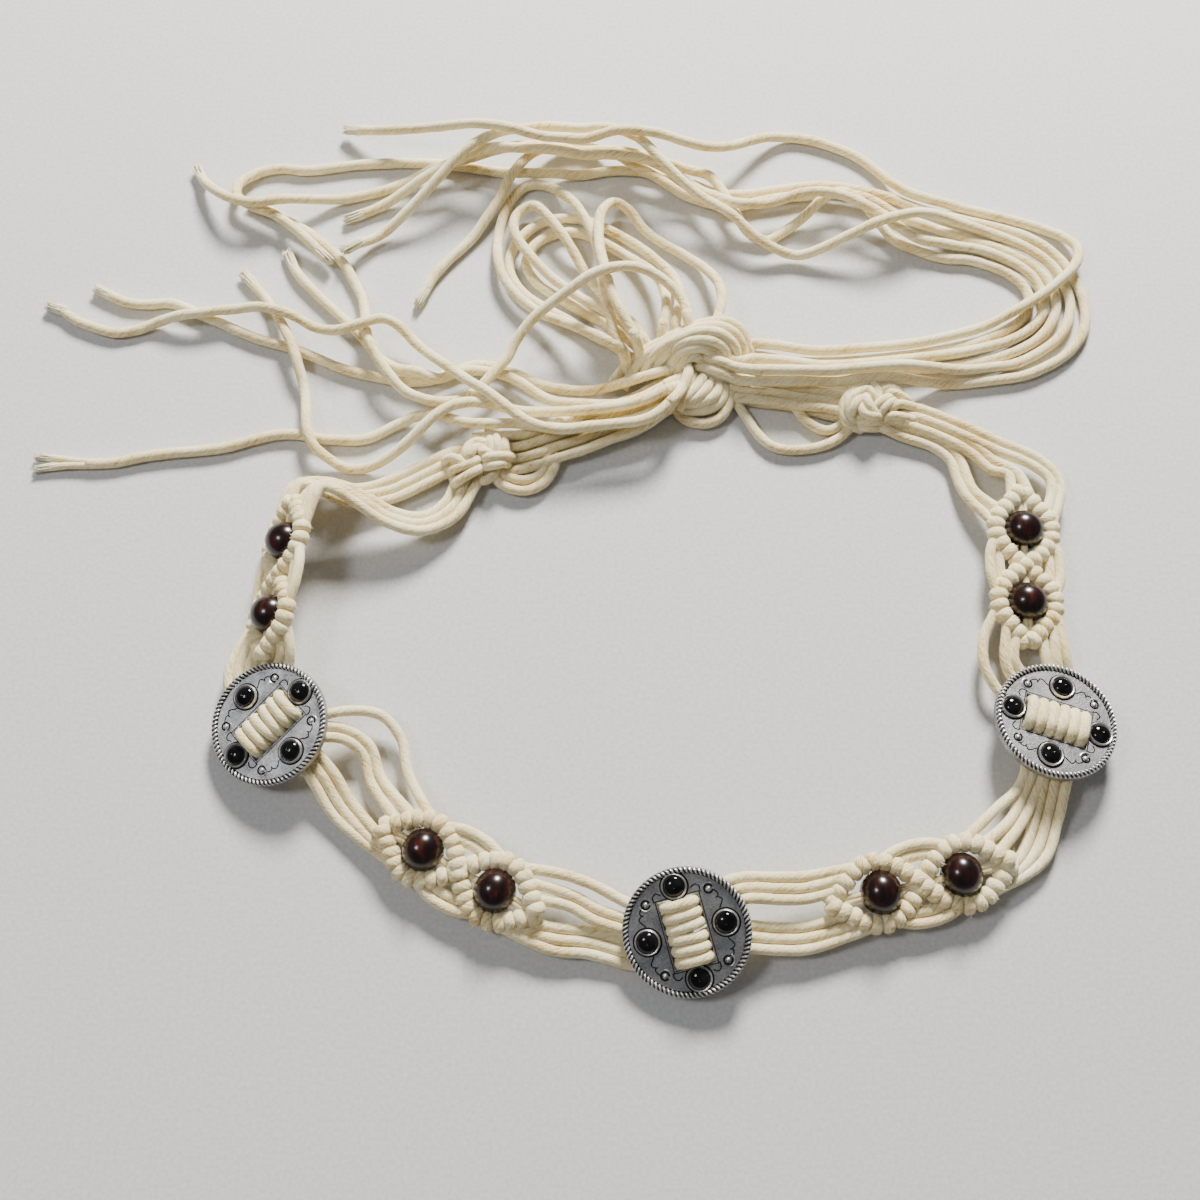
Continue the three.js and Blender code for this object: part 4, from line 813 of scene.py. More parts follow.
# Cords of the knots in millimetres, as they show from above: each rises out of its
# knot, crosses over it and dives in again.
KNOT_CORDS = {
    "left": [
        [(-55.5, 43.9, 2), (-53.5, 44.1, 7), (-49.2, 46.3, 9), (-45.1, 49.4, 8), (-43.6, 53.6, 3)],
        [(-56.9, 49.1, 3), (-54.7, 49.2, 7.5), (-50.3, 49.9, 9.5), (-45.9, 52.4, 9),
         (-44.5, 56.2, 4)],
        [(-59.2, 52, 2), (-58, 53.6, 6), (-54.9, 53.4, 9), (-51.5, 51.6, 9), (-50.5, 51, 5)],
        [(-50.6, 52, 4), (-50.5, 53.9, 9), (-49.9, 56.9, 9.5), (-48.3, 59.5, 8.5),
         (-45.3, 60.4, 8.5), (-42.3, 59.3, 8), (-41.5, 58.4, 4)],
        [(-48.4, 52.4, 5), (-48.5, 53.4, 10), (-47.5, 55.9, 10.5), (-45.6, 57.4, 9.5),
         (-43.3, 56.6, 9), (-42.6, 56.7, 4)],
        [(-44.4, 54.3, 5), (-42.3, 52.9, 10), (-38.2, 53.4, 10.5), (-34.3, 54.2, 8.5),
         (-32.4, 56, 3)],
        [(-44.2, 51.5, 4), (-42.1, 50.2, 8.5), (-38.8, 50.2, 9.5), (-35.9, 51.6, 8),
         (-34.5, 52.9, 3)],
        [(-46.3, 58, 6), (-44, 55.5, 10), (-41.5, 55.3, 9.5), (-40.1, 55.5, 5)],
        [(-42.6, 68, 2), (-41.9, 64.4, 6), (-41, 59.5, 9), (-39.8, 56, 9), (-39.7, 56.2, 4)],
        [(-39.9, 67.5, 2), (-39.1, 62.4, 8), (-38.5, 58.1, 10), (-37.9, 55.8, 8.5),
         (-37.8, 55.8, 4)],
        [(-36.9, 65.8, 2), (-36.1, 61.5, 7), (-35.6, 57.6, 9), (-35.8, 55.8, 7), (-36.3, 55.8, 3)],
        [(-47.6, 47.7, 2), (-43.5, 46, 4.5), (-40.1, 47.7, 5), (-38.2, 51.2, 3)],
        [(-58.7, 51, 3), (-50.6, 50.5, 4), (-42, 52.2, 4.5), (-33.5, 55.8, 3)],
        [(-56.6, 47.5, 2.5), (-49.7, 48.4, 3.5), (-42, 50.3, 3.5), (-36.1, 53.1, 2.5)],
        [(-55.1, 55.8, 3), (-48.5, 55.3, 5), (-41.2, 55.8, 5), (-34.4, 58.2, 3)],
    ],
    "right": [
        [(100.2, 68.5, 2), (96.2, 68.6, 4), (93.2, 70.2, 6.5), (92.1, 74.1, 7.5),
         (93.2, 77.8, 8.5), (96.1, 81.3, 9), (99.7, 83.6, 9), (103, 84.9, 8.5), (105.3, 83, 9),
         (105.9, 79.6, 9), (105, 76.7, 8), (104.7, 76.9, 3)],
        [(98.5, 71.5, 3), (95.2, 70.9, 7), (93.9, 73.8, 9), (94.8, 77, 10), (97.1, 79.4, 10.5),
         (99.9, 81.2, 10), (102.4, 81.4, 10), (103.4, 79.3, 10), (103.4, 77.5, 8),
         (103.4, 77.4, 3)],
        [(101.2, 82.7, 5), (98.6, 78.8, 9.5), (96.5, 74.9, 10.5), (95.2, 72.4, 8.5),
         (95.2, 72, 3)],
        [(100.6, 82.9, 5), (100.8, 78.1, 10), (101.7, 74.7, 11), (103.2, 72.6, 10),
         (105.8, 72, 7.5), (108.1, 72.5, 3)],
        [(99.5, 80.2, 5), (98.9, 75.2, 9), (99.4, 72.2, 10), (101.4, 70.5, 10), (104, 70.5, 9.5),
         (106.9, 71.8, 6.5), (108.7, 72.5, 2)],
        [(98.8, 74.2, 3), (99, 70.3, 6.5), (101.7, 69, 7.5), (105.3, 69.5, 7), (108.4, 71.1, 2)],
        [(97.3, 70.6, 3), (100.4, 68.3, 4.5), (104.3, 68.1, 4.5), (108.6, 69.1, 3)],
        [(104.8, 74.4, 4), (104.4, 74.2, 9), (106.5, 76.2, 10.5), (109.9, 78.6, 9),
         (113.3, 80.5, 4)],
        [(106.9, 73.2, 4), (106.5, 72.8, 9), (108.4, 74.8, 10), (111.4, 77.4, 8.5),
         (114.5, 79.3, 3)],
        [(107, 81.3, 4), (106.7, 81.5, 8), (108.9, 82.4, 9), (112, 82.7, 8.5), (114.4, 81.4, 7),
         (116.6, 80.8, 3)],
        [(108.8, 81.2, 5), (109.6, 80.7, 9), (112.1, 80.5, 9), (114.7, 79.9, 8), (117.2, 78.6, 7),
         (119.5, 78.4, 3)],
        [(108.7, 70.1, 2), (108.4, 70.9, 6), (110, 71.3, 8), (113, 71.3, 8), (117.3, 71.4, 6),
         (121.6, 71.5, 4)],
        [(110.4, 73.4, 4), (110.6, 74.1, 8), (112.7, 75.7, 9), (115.5, 76.2, 8), (119, 76.2, 6),
         (122.9, 76.4, 4)],
        [(110.8, 70.6, 3), (112.5, 70.5, 6), (115, 70, 6), (118.9, 69.6, 4), (122.4, 68.1, 3)],
        [(94.3, 78.8, 3), (100.9, 77.8, 5), (109.6, 77.8, 5), (118.7, 76.9, 3)],
        [(94, 74, 3), (100.7, 72.2, 4.5), (109.4, 72.2, 4.5), (118.4, 72, 3)],
    ],
    "tie": [
        [(49.4, 85.1, 6), (49.8, 81.2, 5), (48.6, 76.6, 4), (45.7, 72.9, 3), (40.4, 70.9, 2.5),
         (34.5, 71.7, 2.5), (30.5, 74.6, 2.5), (28.6, 77.9, 3), (29.4, 81.8, 4)],
        [(48, 84.6, 7), (46.6, 79.2, 6), (42.3, 76.1, 5), (37.1, 75.2, 4.5), (32.5, 75.6, 4.5),
         (29.9, 78.3, 5)],
        [(45.9, 84.8, 8), (43.5, 79.6, 8), (39.6, 77.8, 7), (35.1, 77.1, 6.5), (30.8, 77.4, 6)],
        [(43, 86.3, 8), (38.9, 80.6, 9), (35, 77.8, 8.5), (31.1, 76.9, 6.5)],
        [(39.4, 87.2, 9), (35.9, 81.5, 10), (32.5, 77.7, 9), (29.8, 75.2, 6.5)],
        [(35.8, 88.7, 9), (33.2, 83, 10), (31.2, 78.8, 9), (28.9, 75.6, 6)],
    ],
}

# The arch of the bow, over the ties that run right.
KNOT_CORDS["tie"] += [
    [(3.5, 86, 2.2), (7, 91, 4), (11, 94.8, 6.2), (16, 98, 9), (24, 101.5, 11.5), (30.5, 104.4, 13),
     (37, 107, 14), (43.5, 108.5, 14), (49.5, 109, 13), (54.5, 106.5, 11), (57, 102.5, 8.5),
     (58.6, 98.5, 6), (59, 94, 3)],
    [(9, 85.5, 2.4), (12, 91, 5), (15.5, 95, 8), (21.5, 97.8, 12), (28, 100.6, 15), (34.5, 103.2, 16.5),
     (42, 104.9, 17), (49, 104.4, 15.5), (53.5, 101.6, 12.5), (55.2, 98.2, 9), (55.5, 93, 4)],
    [(16.5, 91, 3), (19, 94.5, 9), (23, 97, 13), (28.5, 98.9, 16.5), (35.5, 101, 18.5),
     (42.5, 101.8, 18.2), (48.5, 100.3, 16), (51.8, 97.6, 12.5), (52.5, 93.5, 8), (52, 90, 4)],
    [(21.5, 90.5, 4), (23.5, 94, 10), (27, 96.3, 14), (32, 97.8, 17), (38, 98.6, 17.8),
     (43.5, 98.4, 16.5), (47.5, 96.8, 14), (49, 93.5, 9.5), (48.5, 90, 5)],
    [(26.5, 90, 5), (28, 92.8, 11), (30.8, 94.8, 14.5), (35, 95.8, 16), (39.5, 96, 15.2),
     (43, 95.2, 12.6), (44.5, 92.5, 8)],
    [(29.5, 89, 6), (31, 91.6, 11), (33.8, 93.2, 13.2), (37, 93.8, 12.6), (39.6, 93, 9.6)],
]
# How each loose cord goes on from its end into the bow knot.
KNOT_LEADS = {
    "tie_left_1": [(31, 80.5, 12.5), (33.2, 86, 12.5), (33.6, 90.5, 11), (31.5, 93, 8), (27, 93, 5)],
    "tie_left_2": [(30, 91.8, 10), (33.5, 91.6, 9.5), (36.5, 89.5, 6)],
    "tie_left_3": [(30.5, 86.5, 9.5), (34.5, 88.5, 8.5), (38, 89, 5)],
    "tie_left_4": [(30, 83, 10), (33.5, 86, 9.5), (37, 88, 6.5)],
    "tie_left_5": [(30, 78.4, 8.6), (34, 82.6, 7.4), (38, 86.8, 5.5)],
    "tie_left_6": [(34.5, 104, 14.5), (36, 100, 10), (37, 97, 6)],
    "tie_right_5": [(52, 86, 9.5), (45, 88.6, 11), (39, 91, 9.8), (33.5, 92.5, 6), (29, 94, 4)],
    "tie_right_3": [(52, 89.6, 12.5), (45, 92.2, 13), (39.5, 94.6, 11), (34, 97, 8), (29, 98, 5)],
    "tie_right_4": [(52, 91, 6), (45, 91.5, 6.5), (38, 94, 5.5), (31, 97, 3)],
    "tie_right_2": [(52.5, 93.6, 10.5), (46, 95.4, 12), (41, 97, 10.5), (35.5, 99, 8), (30, 100, 5)],
    "tie_right_6": [(52, 96.6, 6.5), (45, 97, 7.5), (38, 98, 7), (31, 99, 4)],
    "tie_right_1": [(53, 100.4, 7.5), (47, 100, 7), (41, 100, 6), (34, 101, 4)],
    "bow_loop_1": [(30.5, 104, 10), (31.5, 100, 7)],
    "bow_loop_2": [(24, 102, 9), (24, 98, 6)],
    "bow_loop_3": [(20, 98.5, 6), (23, 95, 4)],
    "bow_loop_4": [(11, 92, 5), (14, 88, 3)],
    "bow_loop_5": [(16.5, 95.5, 5), (19, 91, 3)],
}
KNOT_RETURNS = {
    "bow_loop_1": [(14, 96.5, 4), (18, 94, 3)],
    "bow_loop_2": [(17, 99, 6), (21, 96, 4)],
    "bow_loop_3": [(17, 99, 6), (20, 95, 4)],
    "bow_loop_4": [(12, 94.5, 4.5), (16, 91.5, 3)],
    "bow_loop_5": [(43.5, 105, 11), (42, 101, 8)],
}


def turn_balls(turn, laid):
    """A flat turn counts as five rows of balls side by side, a round one as one row."""
    thick = turn.get("thick", turn["wide"])
    radius, spread = thick / 2, (turn["wide"] - thick) / 2
    path = spline(np.array(turn["route"]) + SHIFT, LAY_STEP)
    aside = units(np.cross(np.gradient(path, axis=0), UP))
    for share in ((-1, -0.5, 0, 0.5, 1) if spread > 0 else (0,)):
        laid.add(path + aside * share * spread, radius)


def frayed_end(shell, path, radius):
    """The last stretch of a cut cord opens into a brush of loose tufts."""
    tangents, normals, sideways = path_frames(path)
    tip = path[-1] - tangents[-1] * FRAY_LENGTH
    for tuft in range(FRAY_TUFTS):
        angle = tuft * FRAY_TURN + rng.uniform(-0.3, 0.3)
        spread = math.sqrt((tuft + 0.5) / FRAY_TUFTS)
        side = normals[-1] * math.cos(angle) + sideways[-1] * math.sin(angle)
        root = tip - tangents[-1] * FRAY_ROOT + side * radius * spread * FRAY_SEAT
        reach = FRAY_LENGTH * rng.uniform(*FRAY_REACH)
        flare = radius * spread * rng.uniform(*FRAY_FLARE)
        end = tip + tangents[-1] * reach + side * flare
        middle = tip + side * radius * spread * rng.uniform(*FRAY_MOUTH)
        curve = spline([root, middle, (middle + end) / 2, end], FRAY_STEP)
        curve[:, 2] = np.maximum(curve[:, 2], 0.0003)
        widths = np.linspace(*FRAY_WIDTHS, len(curve)) * radius
        # Each tuft gets a pale tone: painted light against the shade between tufts.
        shell.tube(curve, widths, FRAY_SIDES, seed=rng.uniform(0, 1), tone=FRAY_PAINTED_LIGHT)


def split_end(shell, path):
    """Two thinner strands that part from the middle of a cord and lie down on the floor."""
    tangents, _, _ = path_frames(path)
    aside = units(np.cross(tangents, UP))
    share = np.linspace(0, 1, len(path))[:, None]
    for side in (-1, 1):
        apart = SPLIT_START * (1 - share) + SPLIT_SPREAD * share ** SPLIT_BEND
        strand = path + aside * side * apart
        strand[:, 2] -= (CORD_RADIUS - SPLIT_RADIUS) * share[:, 0]
        body = strand[:-4]
        shell.tube(body, SPLIT_RADIUS * uneven(len(body)), seed=rng.uniform(0, 1))
        shell.hairs(body, SPLIT_RADIUS * 0.8, HAIRS * 0.5)
        frayed_end(shell, strand, SPLIT_RADIUS)


def uneven(count):
    """Soft cotton is nowhere quite the same thickness."""
    steps = np.arange(count)
    wave = SHORT_WAVE[0] * np.sin(steps * SHORT_WAVE[1] + rng.uniform(0, 6))
    wave = wave + rng.normal(0, ROUGHNESS, count)
    return 1 + wave + LONG_WAVE[0] * np.sin(steps * LONG_WAVE[1] + rng.uniform(0, 6))


cord_paths = {}


def make_cords():
    """Lays the bow's loop and the ties."""
    laid = Balls()
    for turn in SQUARE_KNOTS["left"] + SQUARE_KNOTS["right"]:
        turn_balls(turn, laid)
    for row in CORDS:
        path = lay_cord(row, laid)
        laid.add(path, CORD_RADIUS)
        fine = resample(path, RING_STEP)
        shell = Shell()
        free = row["enter"] is None
        radii = CORD_RADIUS * uneven(len(fine))
        if free:
            split = row["name"] in SPLIT_TIES
            bare = round((SPLIT_LENGTH if split else FRAY_LENGTH) / RING_STEP)
            body = fine[:-bare]
            radii = radii[:-bare]
            radii[-2:] *= CUT_END
            shell.tube(body, radii, seed=rng.uniform(0, 1))
            shell.hairs(body, CORD_RADIUS, HAIRS)
            if split:
                split_end(shell, fine[-bare - 2:])
            else:
                frayed_end(shell, fine, CORD_RADIUS)
        else:
            shell.tube(fine, radii, seed=rng.uniform(0, 1))
            shell.hairs(fine, CORD_RADIUS, HAIRS)
        cord_paths[row["name"]] = fine
        piece = shell.finish(f"cord_{row['name']}", COTTON, row["name"])


make_cords()


def soft_cord(shell, path, radius=STRAND_RADIUS):
    """A cord that is part of a larger piece: an uneven tube with loose fibres."""
    path[:, 2] = np.maximum(path[:, 2], radius)
    shell.tube(path, radius * uneven(len(path)), seed=rng.uniform(0, 1))
    shell.hairs(path, radius, HAIRS)


def knot_cord(shell, points, radius=KNOT_CORD_RADIUS):
    soft_cord(shell, spline(np.array(points) / MM_PER_METRE + SHIFT, RING_STEP), radius)


# Bundles of cords in the tails.
BUNDLE_PACKING = 0.97
BUNDLE_SWAY = 0.0003


def bundle_offsets(turn):
    """Where each cord of a turn lies in its section: across and upwards."""
    columns, layers = turn["cords"]
    across = 2 * STRAND_RADIUS * BUNDLE_PACKING
    wide = (turn["wide"] - 2 * STRAND_RADIUS) / 2
    high = (turn.get("thick", turn["wide"]) - 2 * STRAND_RADIUS) / 2
    offsets = []
    for layer in range(layers):
        level = 0.0 if layers == 1 else high * (2 * layer / (layers - 1) - 1)
        inset = 0.5 * across if layers > 1 and layer != layers // 2 and columns > 3 else 0.0
        reach = max(wide - inset, 0.0)
        for column in range(columns):
            share = 0.0 if columns == 1 else 2 * column / (columns - 1) - 1
            offsets.append((reach * share, level))
    return offsets


def bundle(shell, turn):
    """The cords of a tail, side by side and above each other, twisted a little."""
    route = turn["route"] + ([turn["into"]] if "into" in turn else [])
    path = spline(np.array(route) + SHIFT, RING_STEP)
    tangents = np.gradient(path, axis=0)
    sideways = units(np.cross(tangents, UP))
    upwards = units(np.cross(sideways, tangents))
    shares = np.linspace(-0.5, 0.5, len(path))
    for across, level in bundle_offsets(turn):
        angle = turn.get("twist", 0.0) * 2 * math.pi * shares
        x = across * np.cos(angle) - level * np.sin(angle)
        y = across * np.sin(angle) + level * np.cos(angle)
        x = x + BUNDLE_SWAY * np.sin(np.arange(len(path)) * 0.3 + rng.uniform(0, 6))
        soft_cord(shell, path + sideways * x[:, None] + upwards * y[:, None])


# The knotted rows: side by side hitches round a carrying cord.
ROW_SHAPE = [
    (-0.031, 0, -0.0008), (-0.0244, 0.0056, -0.0002), (-0.0186, 0.0098, 0),
    (-0.0118, 0.0102, 0), (-0.006, 0.0066, 0), (0, 0, 0.0005), (0.006, -0.0066, 0),
    (0.0118, -0.0102, 0), (0.0186, -0.0098, 0), (0.0244, -0.0056, -0.0002),
    (0.031, 0, -0.0008),
]
# Two cords bow out beside each row: their shape, and how far each lies inwards and down.
BOW_SHAPE = [(-0.0105, 0.0102), (-0.004, 0.0128), (0.004, 0.0128), (0.0105, 0.0102)]
BOW_STRETCH = 1.15
BOW_CORDS = ((0.0, 0.0), (0.0038, -0.0008))
HITCH_AROUND = 20
HITCH_SECTION = 12
HITCH_HEIGHT = 0.9
HITCH_FILL = 0.53
HITCH_LEAN = (0.02, 0.24)


def row_path(spot, side, step):
    points = [(along * spot.stretch, side * across, side * out)
              for along, across, out in ROW_SHAPE]
    return spline(spot.place_all(points), step)


def rounded(wave, power):
    """A sine or cosine pushed towards a rounded square."""
    return np.sign(wave) * np.abs(wave) ** power


def hitch(shell, centre, tangent, out, lean):
    """One turn of cord round the row: a fat pillow, fuller along the row than it is thick."""
    sideways = unit(np.cross(out, tangent))
    axis = unit(tangent + sideways * lean)
    sideways = unit(np.cross(out, axis))
    rise = np.cross(axis, sideways)
    around = np.linspace(0, 2 * math.pi, HITCH_AROUND, endpoint=False)
    section = np.linspace(0, 2 * math.pi, HITCH_SECTION, endpoint=False)
    wide = HITCH_REACH * rng.uniform(*HITCH_VARIES)
    high = HITCH_REACH * HITCH_HEIGHT * rng.uniform(*HITCH_VARIES)
    thick = rounded(np.cos(section), 0.8)
    long = rounded(np.sin(section), 0.72)
    grid = np.empty((len(around), len(section), 3))
    for index, angle in enumerate(around):
        spoke = sideways * math.cos(angle) + rise * math.sin(angle)
        middle = centre + sideways * wide * math.cos(angle) + rise * high * math.sin(angle)
        grid[index] = (middle + thick[:, None] * spoke * HITCH_THICK
                       + long[:, None] * axis * HITCH_PITCH * HITCH_FILL)
    shell.ring(grid, seed=rng.uniform(0, 1))
    skin = HITCH_THICK * 0.9
    rim = [centre + sideways * (wide + skin) * math.cos(angle)
           + rise * (high + skin) * math.sin(angle) for angle in around]
    shell.hairs(np.array(rim), 0.0004, HAIRS * 0.6)


def make_pair(row):
    """Two crossing rows of hitches with a bowed pair of cords beside each, and two beads."""
    spot = pair_spots[row["name"]]
    shell = Shell()
    for side in (1, -1):
        path = row_path(spot, side, ROW_STEP)
        count = int(round(path_length(path) / HITCH_PITCH))
        tangents = np.gradient(path, axis=0)
        for index in range(count):
            at = int((index + 0.5) / count * (len(path) - 1))
            lean = side * rng.uniform(*HITCH_LEAN)
            hitch(shell, path[at], unit(tangents[at]), spot.out, lean)
        shell.tube(path, ROW_CORE_RADIUS, sides=10)
        for inset, drop in BOW_CORDS:
            bow = [(along * BOW_STRETCH, side * (across - inset), drop)
                   for along, across in BOW_SHAPE]
            soft_cord(shell, spline(spot.place_all(bow), RING_STEP))
    reach = DIAMOND_HALF_LENGTH * spot.stretch - 0.003
    for offset in (-BEAD_CORD_OFFSET, BEAD_CORD_OFFSET):
        core = spot.place_all([(-reach, offset, 0), (0, 0, 0), (reach, -offset, 0)])
        shell.tube(spline(core, RING_STEP), BEAD_CORD_RADIUS, sides=8)
    shell.finish(f"knots_{row['name']}", COTTON, f"diamonds_{row['name']}")
    for number, end in ((1, -1), (2, 1)):
        make_bead(spot, end * BEAD_FROM_MIDDLE, f"{row['name']}_{number}")


def make_bead(spot, along, name):
    """A round bead, drilled along the band: its outside, then back through its bore."""
    shell = Shell()
    turns = np.linspace(0, 2 * math.pi, BEAD_SIDES, endpoint=False)
    half = BEAD_LENGTH / 2
    bore = math.acos(BEAD_BORE / BEAD_RADIUS)
    profile = [(half * math.sin(a) / math.sin(bore), BEAD_RADIUS * math.cos(a))
               for a in np.linspace(-bore, bore, BEAD_RINGS)]
    inside = (half * 0.9, BEAD_BORE * 0.86)
    profile += [inside, (-inside[0], inside[1])]
    grid = np.array([[spot.place(along + x, r * math.cos(t), r * math.sin(t)) for t in turns]
                     for x, r in profile])
    shell.ring(grid[::-1])
    shell.finish(f"wood_{name}", WOOD, f"bead_{name}")


# The strands between the pairs: each goes through both slots of a concho.
RIBBON_DEPTH = 0.0037
SLOT_EXIT = 0.0076
RIBBON_SHAPE = [
    (-0.0094, -0.0037), (-0.0064, -0.0033), (-0.0052, -0.0014), (-0.0051, 0.0008),
    (-0.0039, 0.003), (0, 0.0036), (0.0039, 0.003), (0.0051, 0.0008), (0.0052, -0.0014),
    (0.0064, -0.0033), (0.0094, -0.0037),
]
# How far the two halves of a ribbon part along the plate, and where each strand is hitched.
PARTED = {"left": -0.035, "front": 0.04, "right": 0.015}
HITCH_ALONG = [0.0145, 0.02, 0.0255, 0.0265, 0.0215, 0.0155]
FANS = [
    {"concho": "left", "slot": -1, "pair": "left", "end": 1, "bunches": [
        ((0, 1, 2), [(-0.1275, -0.038), (-0.129, -0.0295, 0.0056)]),
        ((3, 4, 5), [(-0.1165, -0.0325), (-0.1125, -0.025, 0.0145)]),
    ]},
    {"concho": "left", "slot": 1, "pair": "front_left", "end": -1, "bunches": [
        ((0, 1, 2), [(-0.103, -0.061), (-0.0967, -0.0675, 0.0065), (-0.089, -0.079, 0.0034)]),
        ((3, 4), [(-0.1, -0.053), (-0.0895, -0.053, 0.008), (-0.082, -0.058, 0.004),
                  (-0.0785, -0.068, 0.003)]),
        ((5,), [(-0.0985, -0.0478), (-0.088, -0.045, 0.01), (-0.077, -0.046, 0.007),
                (-0.07, -0.054, 0.0046), (-0.0667, -0.067, 0.005)]),
    ]},
    {"concho": "front", "slot": -1, "pair": "front_left", "end": 1, "bunches": [
        ((0, 1, 2), [(0.012, -0.128), (-0.0033, -0.1242, 0.0032), (-0.016, -0.123, 0.0042)]),
        ((3, 4), [(0.0113, -0.1188), (-0.0014, -0.1153, 0.0064), (-0.0095, -0.1109, 0.0068)]),
        ((5,), [(0.0095, -0.1115), (-0.002, -0.1058, 0.0085), (-0.012, -0.1023, 0.0088)]),
    ]},
    {"concho": "front", "slot": 1, "pair": "front_right", "end": -1, "bunches": [
        ((0, 1, 2), [(0.048, -0.123), (0.06, -0.1232, 0.0055), (0.07, -0.1228, 0.005)]),
        ((3, 4, 5), [(0.0465, -0.1078), (0.06, -0.1072, 0.011), (0.069, -0.1068, 0.0096)]),
    ]},
    {"concho": "right", "slot": -1, "pair": "front_right", "end": 1, "bunches": [
        ((0, 1, 2), [(0.158, -0.0685), (0.1548, -0.082, 0.0038), (0.149, -0.095, 0.0032)]),
        ((3, 4), [(0.152, -0.0662), (0.1485, -0.075, 0.006), (0.143, -0.084, 0.006)]),
        ((5,), [(0.148, -0.0645), (0.1455, -0.0715, 0.007), (0.1365, -0.0795, 0.008)]),
    ]},
    {"concho": "right", "slot": 1, "pair": "right", "end": -1, "bunches": [
        ((0, 1, 2), [(0.165, -0.0335), (0.1634, -0.025, 0.0066)]),
        ((3, 4), [(0.1515, -0.033), (0.1465, -0.0265, 0.0072)]),
        ((5,), [(0.1435, -0.038), (0.1374, -0.029, 0.0078), (0.1376, -0.018, 0.0074)]),
    ]},
]


def under_plate(spot, x, y):
    """The place under a leaning plate that is straight below or above (x, y)."""
    drop = spot.out[0] * (x - spot.origin[0]) + spot.out[1] * (y - spot.origin[1])
    return vec(x, y, spot.origin[2] - (drop + RIBBON_DEPTH) / spot.out[2])


def hitch_place(spot, end, strand):
    """Where a strand is hitched to its row."""
    along = HITCH_ALONG[strand]
    side = -1 if strand < STRANDS / 2 else 1
    places = [place for place in ROW_SHAPE if place[0] >= 0]
    across = -np.interp(along, [place[0] for place in places], [place[1] for place in places])
    return spot.place(end * along * spot.stretch, side * across, 0)


def from_middle(strands):
    """How far the middle of a bunch of strands is from the middle of the band."""
    return (sum(strands) / len(strands) - (STRANDS - 1) / 2) * STRAND_PITCH


def bunch_points(stations, strands, strand, before, side):
    """One strand's points along its bunch, whose section leans by each station's roll."""
    points = []
    offset = (strand - sum(strands) / len(strands)) * STRAND_PITCH
    for at, roll in stations:
        flat = unit(np.cross(UP, at - before))
        turned = flat * math.cos(math.radians(roll)) - UP * math.sin(math.radians(roll))
        side = turned if np.dot(turned, side) > 0 else -turned
        points.append(at + side * offset)
        before = at
    return points


def fan_points(name, slot, strand):
    """One strand from a concho's slot to the row that it is hitched to."""
    concho = concho_spots[name]
    fan = next(row for row in FANS if row["concho"] == name and row["slot"] == slot)
    strands, route = next(row for row in fan["bunches"] if strand in row[0])
    (x, y), *further = route
    stations = [(under_plate(concho, x + SHIFT[0], y + SHIFT[1]), 0)]
    stations += [(np.array(spot) + SHIFT, 0) for spot in further]
    start = concho.place(slot * SLOT_EXIT, from_middle(strands), -RIBBON_DEPTH)
    points = bunch_points(stations, strands, strand, start, concho.across)
    return points + [hitch_place(pair_spots[fan["pair"]], fan["end"], strand)]


def make_strands(name):
    """Six cords, each up through one slot of the concho, over its bar and down again."""
    concho = concho_spots[name]
    shell = Shell()
    for strand in range(STRANDS):
        place = strand - (STRANDS - 1) / 2
        slant = rng.uniform(-0.03, 0.03) + PARTED[name] * place / abs(place) ** 2
        ribbon = [concho.place(along, place * STRAND_PITCH + slant * along, out)
                  for along, out in RIBBON_SHAPE]
        before = fan_points(name, -1, strand)[::-1]
        after = fan_points(name, 1, strand)
        soft_cord(shell, spline(before + ribbon + after, RING_STEP))
    shell.finish(f"cords_{name}", COTTON, f"strands_{name}")


# The cords from the end pairs into the square knots: places, and rolls in degrees if any.
BAND_ENDS = [
    {"name": "left", "pair": "left", "end": -1, "bunches": [
        ((0, 1, 2), [
            (-0.1125, 0.0425, 0.008, 48), (-0.103, 0.0425, 0.007, 35), (-0.092, 0.0395, 0.0056, 20),
            (-0.08, 0.042, 0.004), (-0.067, 0.0485, 0.0036), (-0.055, 0.0545, 0.0044),
            (-0.047, 0.0565, 0.0046),
        ]),
        ((3, 4, 5), [
            (-0.103, 0.0365, 0.018, 48), (-0.096, 0.0375, 0.0175, 48), (-0.087, 0.0335, 0.0145, 42),
            (-0.077, 0.0285, 0.0105, 34), (-0.0655, 0.0276, 0.007, 20), (-0.0555, 0.0345, 0.0046, 8),
            (-0.05, 0.046, 0.004), (-0.0455, 0.054, 0.0038),
        ]),
    ]},
    {"name": "right", "pair": "right", "end": 1, "bunches": [
        ((0, 1), [
            (0.1704, 0.0445, 0.0058), (0.164, 0.053, 0.0056), (0.1505, 0.0595, 0.006),
            (0.137, 0.067, 0.0054), (0.12, 0.0744, 0.005), (0.1065, 0.0762, 0.005),
        ]),
        ((2, 3), [
            (0.1545, 0.0475, 0.0064), (0.148, 0.0515, 0.0056), (0.142, 0.058, 0.005),
            (0.133, 0.0645, 0.0046), (0.119, 0.0705, 0.0046), (0.1055, 0.0732, 0.005),
        ]),
        ((4, 5), [
            (0.1388, 0.04, 0.005), (0.1363, 0.047, 0.0036), (0.1343, 0.0555, 0.0028),
            (0.128, 0.062, 0.0026), (0.116, 0.0665, 0.0032), (0.1085, 0.0698, 0.0042),
            (0.1015, 0.0735, 0.005),
        ]),
    ]},
]


